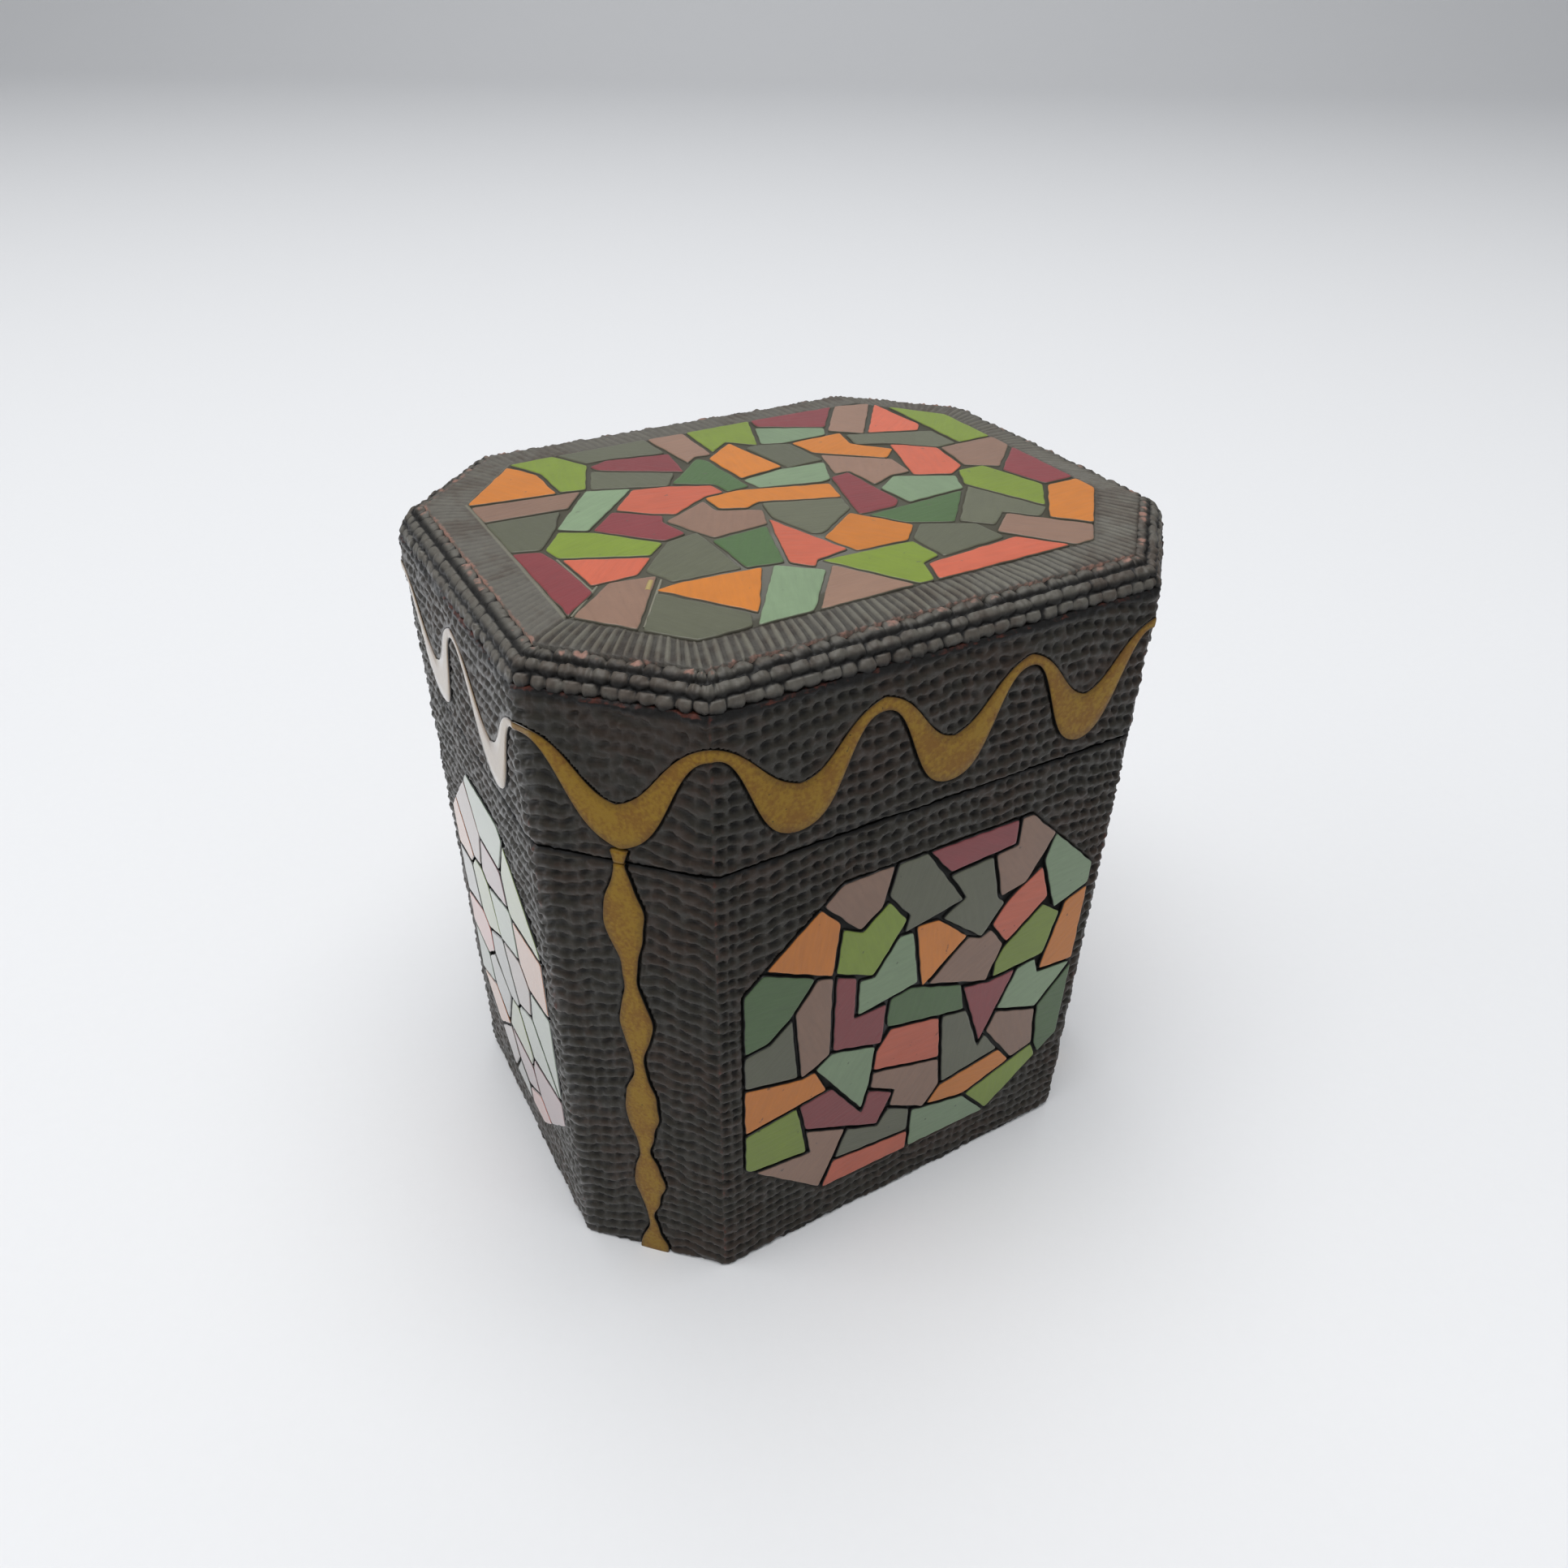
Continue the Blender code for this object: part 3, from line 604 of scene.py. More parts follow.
def strip(first, second, place, closed):
    """A gilt strip: across it, a wall up to the first edge, a rounded shoulder, a flat face, and the same
    down the second edge. Where it is narrower than 1.6 mm its insets shrink with it. place(across, depth)
    puts it on the walls. Its rim mark is e^(-distance from the edge / 0.45)."""
    narrow = np.clip((second - first) / 1.6, 0, 1)
    across = first * (1 - STRIP_MIX) + second * STRIP_MIX + STRIP_INSET * narrow
    points = place(across, STRIP_DEPTH + 0 * across)
    faces = grid_faces(*across.shape, closed=closed)
    rim = np.exp(-np.minimum(across - first, second - across) / 0.45)
    return points, faces, rim


def paint(red, green, blue):
    """A colour as 8-bit display values, made linear."""
    value = np.array([red, green, blue]) / 255
    return tuple(np.where(value < 0.04045, value / 12.92, ((value + 0.055) / 1.055) ** 2.4))


# Mosaic tiles.

# A distance for what isn't to be chosen as the nearest.
FAR_AWAY = 1e9


def inset_outline(corners, amount):
    """An anticlockwise outline moved inwards: each corner goes against the sum of its two edges' outward
    normals, divided by one plus their product, which keeps sharp corners within bounds."""
    out = outward_normals(np.roll(corners, -1, axis=0) - corners)
    before = np.roll(out, 1, axis=0)
    lean = np.maximum(1 + (before * out).sum(1), 0.12)
    return corners - amount * (before + out) / lean[:, None]


def turned_anticlockwise(corners):
    """The corners as an array, reversed if the outline's signed area is negative."""
    corners = np.array(corners, float)
    beside = np.roll(corners, -1, axis=0)
    area = (corners[:, 0] * beside[:, 1] - beside[:, 0] * corners[:, 1]).sum()
    return corners if area > 0 else corners[::-1]


def keep_near_side(corners, point, away):
    """The part of a convex outline on the near side of a line through a point, square to the way away."""
    reach = (corners - point) @ away
    kept = []
    for here, there, a, b in zip(corners, np.roll(corners, -1, axis=0), reach, np.roll(reach, -1)):
        if a <= 0:
            kept.append(here)
        if (a < 0) != (b < 0):
            kept.append(here + (there - here) * a / (a - b))
    return np.array(kept)


def nearest_cells(outline, middles):
    """Cuts a convex outline into a cell for each middle: what lies nearer to it than to any other middle.
    Corners less than a millimetre after another are left out."""
    cells = []
    for k, middle in enumerate(middles):
        cell = outline
        for other in np.delete(middles, k, axis=0):
            cell = keep_near_side(cell, (middle + other) / 2, other - middle)
        apart = np.linalg.norm(cell - np.roll(cell, 1, axis=0), axis=1)
        cells.append(cell[apart > 1.0])
    return cells


def paved_by_rule(outline, pitch, seed):
    """Tiles for a panel that the photograph doesn't show: middles on a staggered, jittered lattice, and for
    each cell the paint that its nearest neighbours use least."""
    rng = np.random.default_rng(seed)
    low, high = outline.min(0), outline.max(0)
    columns = round((high[0] - low[0]) / pitch)
    rows = round((high[1] - low[1]) / (0.88 * pitch))
    row, column = np.divmod(np.arange(rows * columns), columns)
    middles = np.stack([
        low[0] + (column + 0.25 + 0.5 * (row % 2)) * (high[0] - low[0]) / columns,
        low[1] + (row + 0.5) * (high[1] - low[1]) / rows,
    ], axis=1) + rng.uniform(-0.34, 0.34, (rows * columns, 2)) * pitch
    middles = middles[convex_distance(middles, outline) < -1.5]
    chosen = []
    for k, middle in enumerate(middles):
        near = np.argsort(np.linalg.norm(middles[:k] - middle, axis=1))[:5]
        taken = [chosen[n] for n in near]
        counts = [taken.count(p) + 0.4 * rng.random() for p in PAINTS]
        chosen.append(PAINTS[int(np.argmin(counts))])
    return [(name, cell) for name, cell in zip(chosen, nearest_cells(outline, middles)) if len(cell) > 2]


def edge_moves(corners, spans, out, share, owner, border_out, border_reach, joint):
    """How far places on each edge should move outwards, at most 1.2 mm: half of how much the gap to the
    nearest other tile is over the joint, or all the way to the border where that is nearer. Other tiles are
    searched at 17 places on each of their edges."""
    dense = np.linspace(0, 1, 17)
    places = (corners[:, None] + spans[:, None] * share[:, None]).reshape(-1, 2)
    others = (corners[:, None] + spans[:, None] * dense[:, None]).reshape(-1, 2)
    apart = (places**2).sum(1)[:, None] + (others**2).sum(1)[None] - 2 * places @ others.T
    apart[np.repeat(owner, len(share))[:, None] == np.repeat(owner, len(dense))[None]] = FAR_AWAY
    nearest = apart.argmin(1)
    far = np.sqrt(np.maximum(apart[np.arange(len(places)), nearest], 0))
    place_out = np.repeat(out, len(share), axis=0)
    gap = ((others[nearest] - places) * place_out).sum(1)
    room = np.where(place_out @ border_out.T > 0.8, border_reach - places @ border_out.T, FAR_AWAY).min(1)
    to_border = (room < 3.2) & (room < far + 0.8)
    moves = np.where(to_border, room, np.where(far < 3.5, (gap - joint) / 2, 0.0)).clip(-1.2, 1.2)
    return moves.reshape(-1, len(share))


def crossed_lines(starts, ends, before):
    """Where each edge's line crosses the line of the edge before it. Where the two are nearly in line, the
    middle between the end of one and the start of the other is taken."""
    ways = ends - starts
    ways_before = ways[before]
    turn = ways_before[:, 0] * ways[:, 1] - ways_before[:, 1] * ways[:, 0]
    offset = starts - starts[before]
    reach = (offset[:, 0] * ways[:, 1] - offset[:, 1] * ways[:, 0]) / np.where(np.abs(turn) < 1e-6, 1, turn)
    crossed = starts[before] + ways_before * reach[:, None]
    straight = np.abs(turn) < 0.2 * np.linalg.norm(ways, axis=1) * np.linalg.norm(ways_before, axis=1)
    return np.where(straight[:, None], (ends[before] + starts) / 2, crossed)


def settled(outlines, border, joint, rounds=4):
    """Moves the tiles' straight edges until the joints between them are about alike. Seven places on each
    edge say how far to move, a line is fitted to each edge's moves, and lines next to each other are
    crossed to give the corners. A corner moves at most 1.6 mm a round, and ends inside the border."""
    outlines = [turned_anticlockwise(corners) for corners in outlines]
    counts = np.array([len(corners) for corners in outlines])
    owner = np.repeat(np.arange(len(counts)), counts)
    last = np.cumsum(counts) - 1
    after = np.arange(len(owner)) + 1
    after[last] = last + 1 - counts
    before = np.empty_like(after)
    before[after] = np.arange(len(owner))
    border_out = outward_normals(np.roll(border, -1, axis=0) - border)
    border_reach = (border * border_out).sum(1)
    share = np.linspace(0.07, 0.93, 7)
    corners = np.concatenate(outlines)
    for _ in range(rounds):
        spans = corners[after] - corners
        out = outward_normals(spans)
        moves = edge_moves(corners, spans, out, share, owner, border_out, border_reach, joint)
        slope = ((moves - moves.mean(1, keepdims=True)) * (share - 0.5)).sum(1) / ((share - 0.5)**2).sum()
        limit = 0.12 * np.linalg.norm(spans, axis=1)
        slope = slope.clip(-limit, limit)
        starts = corners + out * (moves.mean(1) - 0.5 * slope)[:, None]
        ends = corners[after] + out * (moves.mean(1) + 0.5 * slope)[:, None]
        step = crossed_lines(starts, ends, before) - corners
        length = np.maximum(np.linalg.norm(step, axis=1, keepdims=True), 1e-9)
        corners = corners + step * np.minimum(1, 1.6 / length)
    for _ in range(rounds):
        over = corners @ border_out.T - border_reach
        corners = corners - border_out[over.argmax(1)] * np.maximum(over.max(1), 0)[:, None]
    return np.split(corners, np.cumsum(counts)[:-1])


# A tile's rings, from its foot to its face: an inset, a depth, and how much the ring counts as rim.
TILE_STEP = 0.7
TILE_INSETS = np.array([0, 0, 0.06, 0.18, 0.40, 0.50])
TILE_DEPTHS = np.array([1.3, 0.36, 0.18, 0.10, 0.07, 0.07])
TILE_RIMS = np.array([1, 1, 0.85, 0.4, 0.05, 0])


def tile(corners, number):
    """A tile: rings of its outline, each with its own inset and depth, from a wall over a rounded shoulder
    to a flat face. The outline is sampled every 0.7 mm, softened at its corners and made uneven by noise,
    and the face is tilted a little. Its brush mark is the place on the tile, turned to the way of its brush
    strokes."""
    spans = np.linalg.norm(np.roll(corners, -1, axis=0) - corners, axis=1)
    counts = np.maximum(np.round(spans / TILE_STEP), 2).astype(int)
    edge = np.repeat(np.arange(len(corners)), counts)
    share = np.concatenate([np.arange(n) / n for n in counts])[:, None]
    rings = []
    for inset in TILE_INSETS:
        moved = inset_outline(corners, inset)
        ring = moved[edge] * (1 - share) + np.roll(moved, -1, axis=0)[edge] * share
        rings.append(0.6 * ring + 0.2 * (np.roll(ring, 1, axis=0) + np.roll(ring, -1, axis=0)))
    places = np.stack(rings)
    places = places + 0.07 * np.stack([swell(places, 4, 31), swell(places, 4, 32)], axis=-1)
    rng = np.random.default_rng(500 + number)
    tilt = rng.uniform(-0.009, 0.009, 2)
    depth = TILE_DEPTHS[:, None] + np.clip((places - places.mean((0, 1))) @ tilt, -0.06, 0.06)
    count = len(edge)
    ends = [np.arange(count)[None, ::-1], np.arange(count)[None] + count * (len(TILE_INSETS) - 1)]
    faces = [grid_faces(len(TILE_INSETS), count, closed=True)] + ends
    turn = rng.uniform(0, math.pi)
    brush = places @ np.array([[math.cos(turn), -math.sin(turn)], [math.sin(turn), math.cos(turn)]])
    brush = np.concatenate([brush, np.full(brush.shape[:2] + (1,), 7.0 * number)], axis=-1)
    return places, depth, faces, np.repeat(TILE_RIMS, count), brush


def filler_line(start, end, half_width, top):
    """A fine line of filler in a joint: from start to end, five points across, domed from its sides up to a
    depth of top. Its width varies by noise."""
    share = np.linspace(0, 1, max(3, round(np.linalg.norm(end - start) / TILE_STEP)))[:, None]
    beside = np.array([start[1] - end[1], end[0] - start[0]]) / np.linalg.norm(end - start)
    middle = start * (1 - share) + end * share
    wide = half_width * (1 + 0.15 * swell(middle, 6, 41)[:, None, None])
    offset = np.array([-1, -0.8, 0, 0.8, 1])[::-1, None]
    places = middle[:, None] + beside * offset * wide
    depth = np.array([1.6, top + 0.06, top, top + 0.06, 1.6]) + 0 * places[..., 0]
    return places, depth


def add_mosaic(name, node, outline, tiles, place, joint, paints, finish, bed_depth, lines, paint_darkening_and_shade):
    """Makes a panel: a dark bed under the joints, its tiles, whose paints are darkened by a share (on the
    walls more than on the top, which is painted shade), and fine lines of filler in some joints."""
    carving = Carving()
    bed = inset_outline(turned_anticlockwise(outline), 0.3)
    rings = np.stack([bed, bed])
    depth = np.array([1.95, bed_depth])[:, None] + np.zeros(rings.shape[:2])
    count = len(bed)
    faces = [grid_faces(2, count, closed=True), np.arange(count)[None, ::-1], np.arange(count)[None] + count]
    carving.add(place(rings[..., 0], rings[..., 1], depth), faces, paint=paints["joint"], rim=1.0, brush=0.0)
    rng = np.random.default_rng(len(tiles))
    outlines = [corners[0] if len(corners) == 1 else corners for _, *corners in tiles]
    for number, corners in enumerate(settled(outlines, np.array(outline, float), joint)):
        colour = tiles[number][0]
        places, depth, faces, rim, brush = tile(corners, number)
        shade = np.array(paints[colour]) * rng.uniform(0.88, 1.1) * paint_darkening_and_shade
        carving.add(place(places[..., 0], places[..., 1], depth), faces, paint=shade, rim=rim, brush=brush)
    for start, end, filler, half_width, top in lines:
        places, depth = filler_line(np.array(start, float), np.array(end, float), half_width, top)
        faces = [grid_faces(*depth.shape)]
        brush = np.concatenate([places, 0 * places[..., :1]], axis=-1)
        points = place(places[..., 0], places[..., 1], depth)
        carving.add(points, faces, paint=paints[filler], rim=0.10, brush=brush)
    return make_piece(name, carving, node, finish)


# Shader maths.

class Wire:
    """A socket's value in a material. Python's operators on it add Math nodes."""

    def __init__(self, finish, socket):
        self.finish = finish
        self.socket = socket

    def maths(self, operation, first, second):
        return self.finish.node("ShaderNodeMath", {"operation": operation}, {0: first, 1: second})

    def __add__(self, other):
        return self.maths("ADD", self, other)

    def __radd__(self, other):
        return self.maths("ADD", other, self)

    def __sub__(self, other):
        return self.maths("SUBTRACT", self, other)

    def __rsub__(self, other):
        return self.maths("SUBTRACT", other, self)

    def __mul__(self, other):
        return self.maths("MULTIPLY", self, other)

    def __rmul__(self, other):
        return self.maths("MULTIPLY", other, self)

class Finish:
    """A material under construction, with one method that adds any node."""

    def __init__(self, name):
        self.material = bpy.data.materials.new(name)
        self.material.use_nodes = True
        self.tree = self.material.node_tree
        self.tree.nodes.clear()

    def node(self, kind, settings, values, output=0):
        """Adds a node, sets its settings and stops first, then its sockets, and gives one output."""
        made = self.tree.nodes.new(kind)
        for name, value in settings.items():
            if name == "stops":
                ramp = made.color_ramp
                for k, (position, grey) in enumerate(value):
                    stop = ramp.elements[k] if k < 2 else ramp.elements.new(position)
                    stop.position = position
                    stop.color = (grey, grey, grey, 1)
            else:
                setattr(made, name, value)
        for name, value in values.items():
            if isinstance(value, Wire):
                self.tree.links.new(value.socket, made.inputs[name])
            else:
                made.inputs[name].default_value = value
        return Wire(self, made.outputs[output]) if made.outputs else None

    def mark(self, name, output=2):
        """What the mesh keeps under a name: output 0 is a colour, 1 a vector and 2 a number."""
        return self.node("ShaderNodeAttribute", {"attribute_name": name}, {}, output)

    def noise(self, vector, scale, detail=3.0, roughness=0.55):
        """Noise from 0 to 1 at so many waves a metre."""
        return self.node("ShaderNodeTexNoise", {}, {
            "Vector": vector, "Scale": scale, "Detail": detail, "Roughness": roughness})

    def steps(self, value, low, high):
        """0 below low, 1 above high, and eased between them."""
        return self.node("ShaderNodeMapRange", {"interpolation_type": "SMOOTHSTEP"}, {
            "Value": value, "From Min": low, "From Max": high})

    def blend(self, share, first, second, kind="MIX"):
        """The first colour, with a share of the second."""
        return self.node("ShaderNodeMix", {"data_type": "RGBA", "blend_type": kind}, {
            0: share, 6: first, 7: second}, output=2)

    def object_place(self):
        return self.node("ShaderNodeTexCoord", {}, {}, output=3)

    def left_wall(self, place):
        """1 on the left wall, whose varnish is thicker, and 0 from 2.4 mm inside it."""
        across = self.node("ShaderNodeSeparateXYZ", {}, {0: place})
        return self.steps(across * -1.0, (HALF_LENGTH - 2.4) * MM, (HALF_LENGTH - 1.4) * MM)

    def stretch(self, vector, scale):
        return self.node("ShaderNodeMapping", {}, {"Vector": vector, "Scale": scale})

    def bump(self, height, distance):
        """A bumped normal. The distance is in metres."""
        return self.node("ShaderNodeBump", {}, {"Height": height, "Distance": distance, "Strength": 1.0})

    def done(self, **sockets):
        """Ends the material in a Principled shader and gives it back."""
        values = {}
        for name, value in sockets.items():
            values[name.replace("_", " ").title().replace("Ior", "IOR")] = value
        shader = self.node("ShaderNodeBsdfPrincipled", {}, values)
        self.node("ShaderNodeOutputMaterial", {}, {"Surface": shader})
        return self.material


def rgba(colour):
    return (*colour, 1.0)


def ground_finish(paints, name="gouged_wood", ridge="ground", worn="wear", shine=0.25, dull=0.0):
    """Dark stained, gouged wood: black in the cuts, partly as painted shade, with painted shade in the other
    recesses too, brown-grey on the ridges, red-brown where edges are worn."""
    finish = Finish(name)
    place = finish.object_place()
    hollow = finish.mark("hollow")
    wear = finish.mark("wear")
    broad = finish.noise(place, 55)
    fine = finish.noise(place, 1400)
    patch = finish.noise(place, 420)
    brown = finish.steps(broad * 0.6 + patch * 0.4, 0.44, 0.62)
    colour = finish.blend(brown * 0.55, rgba(paints[ridge]), rgba(paints["ground_brown"]))
    tone = 0.55 + 0.9 * (0.6 * finish.noise(place, 760) + 0.4 * patch)
    mottle = finish.node("ShaderNodeCombineColor", {}, {0: tone, 1: tone, 2: tone})
    colour = finish.blend(1.0, colour, mottle, "MULTIPLY")
    # Painted highlight on the flute ridges, with the real pale lip, in the cream paint.
    colour = finish.blend(finish.mark("pale"), colour, rgba(paints["cream"]))
    # Towards near black by the hollow mark: the staining in the cuts, and painted shade there and in the
    # other recesses.
    stain_and_shade_share = finish.steps(hollow + 0.3 * (patch - 0.5), 0.12, 0.90)
    colour = finish.blend(stain_and_shade_share, colour, rgba(paints["ground_pit"]))
    rubbed = finish.steps(wear * (patch * 0.6 + fine * 0.5 + broad * 0.4), 0.38, 0.58)
    colour = finish.blend(rubbed * 0.8, colour, rgba(paints[worn]))
    roughness = 0.36 + dull + 0.12 * broad + 0.20 * hollow
    normal = finish.bump(fine * 0.6 + patch * 0.4, 0.00018)
    return finish.done(
        base_color=colour, roughness=roughness, normal=normal, specular_ior_level=shine,
        coat_weight=0.10 + 0.45 * finish.left_wall(place), coat_roughness=0.22)


def edge_finish(paints):
    """The ground's finish on the beads and flutes, in a greyer paint that is partly a painted sheen, duller,
    and pink where it is worn."""
    return ground_finish(paints, "handled_wood", "edge", "edge_wear", 0.3, 0.12)


def mosaic_finish(paints, name="brushed_paint", joint="joint"):
    """Brushed paint under varnish: each tile's colour, streaked along its own strokes and darkened at
    rims."""
    finish = Finish(name)
    place = finish.object_place()
    brush = finish.mark("brush", 1)
    rim = finish.mark("rim")
    streaks = finish.noise(finish.stretch(brush, (0.16, 1.1, 1.0)), 1.0, 4.0)
    patches = finish.noise(place, 160)
    specks = finish.noise(place, 620, 2.0)
    colour = finish.mark("paint", 0)
    tone = 0.72 + 0.56 * (0.62 * streaks + 0.38 * patches)
    shade = finish.node("ShaderNodeCombineColor", {}, {0: tone, 1: tone, 2: tone})
    colour = finish.blend(1.0, colour, shade, "MULTIPLY")
    colour = finish.blend(finish.steps(specks, 0.71, 0.76) * 0.55, colour, rgba(paints[joint]))
    edge = finish.steps(rim + 0.35 * (patches - 0.5), 0.28, 1.0)
    colour = finish.blend(edge, colour, rgba(paints[joint]))
    roughness = (0.32 + 0.14 * streaks + 0.25 * edge) * (1.0 - 0.6 * finish.left_wall(place))
    normal = finish.bump(streaks * 0.7 + specks * 0.3, 0.00010)
    return finish.done(
        base_color=colour, roughness=roughness, normal=normal, specular_ior_level=0.3,
        coat_weight=0.25 + 0.75 * finish.left_wall(place), coat_ior=1.6, coat_roughness=0.10)


def top_finish(paints):
    """The top's paint, with its joints greyer, partly as a painted sheen."""
    return mosaic_finish(paints, "top_paint", "joint_top")


def gilt_finish(paints):
    """Old gold paint: mottled, specked with dark, browned at its edges."""
    finish = Finish("old_gold")
    place = finish.object_place()
    rim = finish.mark("rim")
    mottle = finish.noise(place, 190)
    grain = finish.noise(place, 1500, 2.0)
    specks = finish.noise(place, 780, 1.0)
    brown = finish.steps(mottle * 0.5 + grain * 0.5, 0.40, 0.62)
    colour = finish.blend(brown, rgba(paints["gilt"]), rgba(paints["gilt_brown"]))
    colour = finish.blend(finish.steps(specks, 0.74, 0.80) * 0.7, colour, rgba(paints["joint"]))
    rubbed = finish.steps(rim + 0.4 * (grain - 0.5), 0.10, 0.75)
    colour = finish.blend(rubbed * 0.6, colour, rgba(paints["gilt_edge"]))
    colour = finish.blend(finish.steps(rim, 0.75, 1.0), colour, rgba(paints["joint"]))
    roughness = (0.40 + 0.2 * grain) * (1.0 - 0.6 * finish.left_wall(place))
    normal = finish.bump(grain, 0.00008)
    return finish.done(
        base_color=colour, roughness=roughness, metallic=0.3, normal=normal, specular_ior_level=0.2,
        coat_weight=0.08 + 0.92 * finish.left_wall(place), coat_ior=1.6, coat_roughness=0.10)


def inside_finish(paints):
    """Plain brown wood with an upright grain, matt."""
    finish = Finish("plain_wood")
    place = finish.object_place()
    grain = finish.noise(finish.stretch(place, (1.0, 1.0, 0.09)), 620, 5.0)
    rings = finish.noise(finish.stretch(place, (1.0, 1.0, 0.15)), 90, 2.0)
    share = finish.steps(0.6 * grain + 0.4 * rings, 0.35, 0.68)
    colour = finish.blend(share, rgba(paints["wood"]), rgba(paints["wood_dark"]))
    normal = finish.bump(grain, 0.00015)
    return finish.done(base_color=colour, roughness=0.55 + 0.2 * grain, normal=normal)


PAPER_TOOTH = (0.6, 0.6, 0.6)


def floor_finish(paints):
    """Pale matt paper with a very faint tooth."""
    finish = Finish("pale_paper")
    place = finish.object_place()
    tooth = finish.noise(place, 350, 2.0)
    colour = finish.blend(tooth * 0.06, rgba(paints["floor"]), rgba(PAPER_TOOTH))
    return finish.done(base_color=colour, roughness=0.85, normal=finish.bump(tooth, 0.00005))


# Sizes and paints that a user would change.

def size(name, description, millimetres):
    return FloatProperty(
        name=name, description=description, default=millimetres * MM,
        subtype="DISTANCE", unit="LENGTH", precision=5)


def colour(name, description, *display):
    return FloatVectorProperty(
        name=name, description=description, default=paint(*display), subtype="COLOR", size=3, min=0, max=1)


class CaddySizes(PropertyGroup):
    """Sizes of the surface ornament."""

    joint: size("Joint", "Width of the dark joint between two mosaic tiles", 0.7)
    bead: size("Bead height", "How far a bead stands up from the gaps round it", 1.05)
    flute: size("Flute depth", "Depth of the grooves of the fluted border", 0.40)


class CaddyPaints(PropertyGroup):
    """Colours of the paints and stains."""

    orange: colour("Orange", "Orange tiles", 216, 128, 34)
    coral: colour("Coral", "Coral tiles", 216, 105, 74)
    rose: colour("Rose", "Dark rose tiles", 142, 56, 60)
    lime: colour("Lime", "Lime green tiles", 130, 152, 44)
    green: colour("Green", "Dark green tiles", 80, 112, 62)
    sage: colour("Sage", "Pale sage tiles", 134, 158, 122)
    slate: colour("Slate", "Grey slate tiles", 100, 102, 80)
    taupe: colour("Taupe", "Brown-pink taupe tiles", 152, 118, 98)
    joint: colour("Joint", "Bed and joints of the wall mosaics", 20, 20, 19)
    # Greyer than the walls' joints, partly a painted sheen.
    joint_top: colour("Top joint", "Bed and joints of the top mosaic", 84, 82, 70)
    # Also the painted highlight on the flute ridges.
    cream: colour("Cream", "Pale grey filler beside some tiles of the top", 124, 122, 106)
    straw: colour("Straw", "A yellowed corner of one tile of the top", 168, 148, 92)
    ground: colour("Ground", "Ridges of the gouged ground", 45, 42, 35)
    ground_brown: colour("Brown ground", "Browner patches of the ground", 58, 42, 33)
    # The beads' and flutes' grey is partly a painted sheen.
    edge: colour("Edge", "Beads and flutes of the lid's edge", 93, 90, 83)
    edge_wear: colour("Edge wear", "Worn tips of the beads", 158, 118, 104)
    # Near black: the staining in the cuts, and painted shade in the recesses of the ground, beads and
    # flutes.
    ground_pit: colour("Cuts", "Inside of the gouge cuts", 12, 11, 10)
    wear: colour("Wear", "Worn edges of the ground", 92, 44, 32)
    gilt: colour("Gilt", "Old gold paint", 140, 108, 30)
    gilt_brown: colour("Brown gilt", "Browner patches of the gold", 124, 86, 26)
    gilt_edge: colour("Gilt edge", "Red-brown wood that shows through at the gold's edges", 84, 58, 26)
    wood: colour("Inside wood", "Plain wood of the inside", 112, 82, 58)
    wood_dark: colour("Inside grain", "Dark grain of the inside", 78, 54, 38)
    floor: colour("Floor", "Studio floor and backdrop", 232, 233, 235)


def paints():
    """The colours as plain numbers, by name."""
    group = bpy.context.scene.caddy_paints
    return {name: tuple(getattr(group, name)) for name in CaddyPaints.__annotations__}


def finish_named(name):
    """One of the finishes, made when it is first asked for."""
    makers = {
        "gouged_wood": ground_finish, "handled_wood": edge_finish, "brushed_paint": mosaic_finish,
        "top_paint": top_finish, "old_gold": gilt_finish, "plain_wood": inside_finish,
        "pale_paper": floor_finish,
    }
    return bpy.data.materials.get(name) or makers[name](paints())


class CADDY_OT_cores(Operator):
    """Make the plain hollow body and cap that the carved surfaces lie on."""

    bl_idname = "caddy.cores"
    bl_label = "Plain cores"

    def execute(self, context):
        finish = finish_named("plain_wood")
        body_rings = [
            (SKIN, 0.12), (SKIN, BODY_TOP - 0.15), (LIP_OUTSIDE, BODY_TOP - 0.15),
            (LIP_OUTSIDE, LIP_TOP - 0.5), (LIP_OUTSIDE + 0.12, LIP_TOP - 0.15),
            (LIP_OUTSIDE + 0.45, LIP_TOP), (INSIDE - 0.45, LIP_TOP),
            (INSIDE - 0.1, LIP_TOP - 0.15), (INSIDE, LIP_TOP - 0.5),
            (INSIDE, FLOOR_TOP + 0.4), (INSIDE + 0.4, FLOOR_TOP),
        ]
        lid_rings = [
            (INSIDE + 0.6, CEILING), (INSIDE, CEILING - 0.6), (INSIDE, LIP_TOP + 0.4),
            (LIP_OUTSIDE - 0.4, LIP_TOP + 0.4), (LIP_OUTSIDE - 0.4, LID_FOOT + 0.15),
            (SKIN, LID_FOOT + 0.15), (SKIN, TOP - 6.6), (INSIDE - 0.2, TOP - 2.0),
        ]
        for name, node, rings in (
            ("body_core", "caddy_body", body_rings),
            ("lid_core", "caddy_lid", lid_rings),
        ):
            carving = Carving()
            carving.add(*vessel(rings))
            make_piece(name, carving, node, finish, smooth=False)
        return {"FINISHED"}


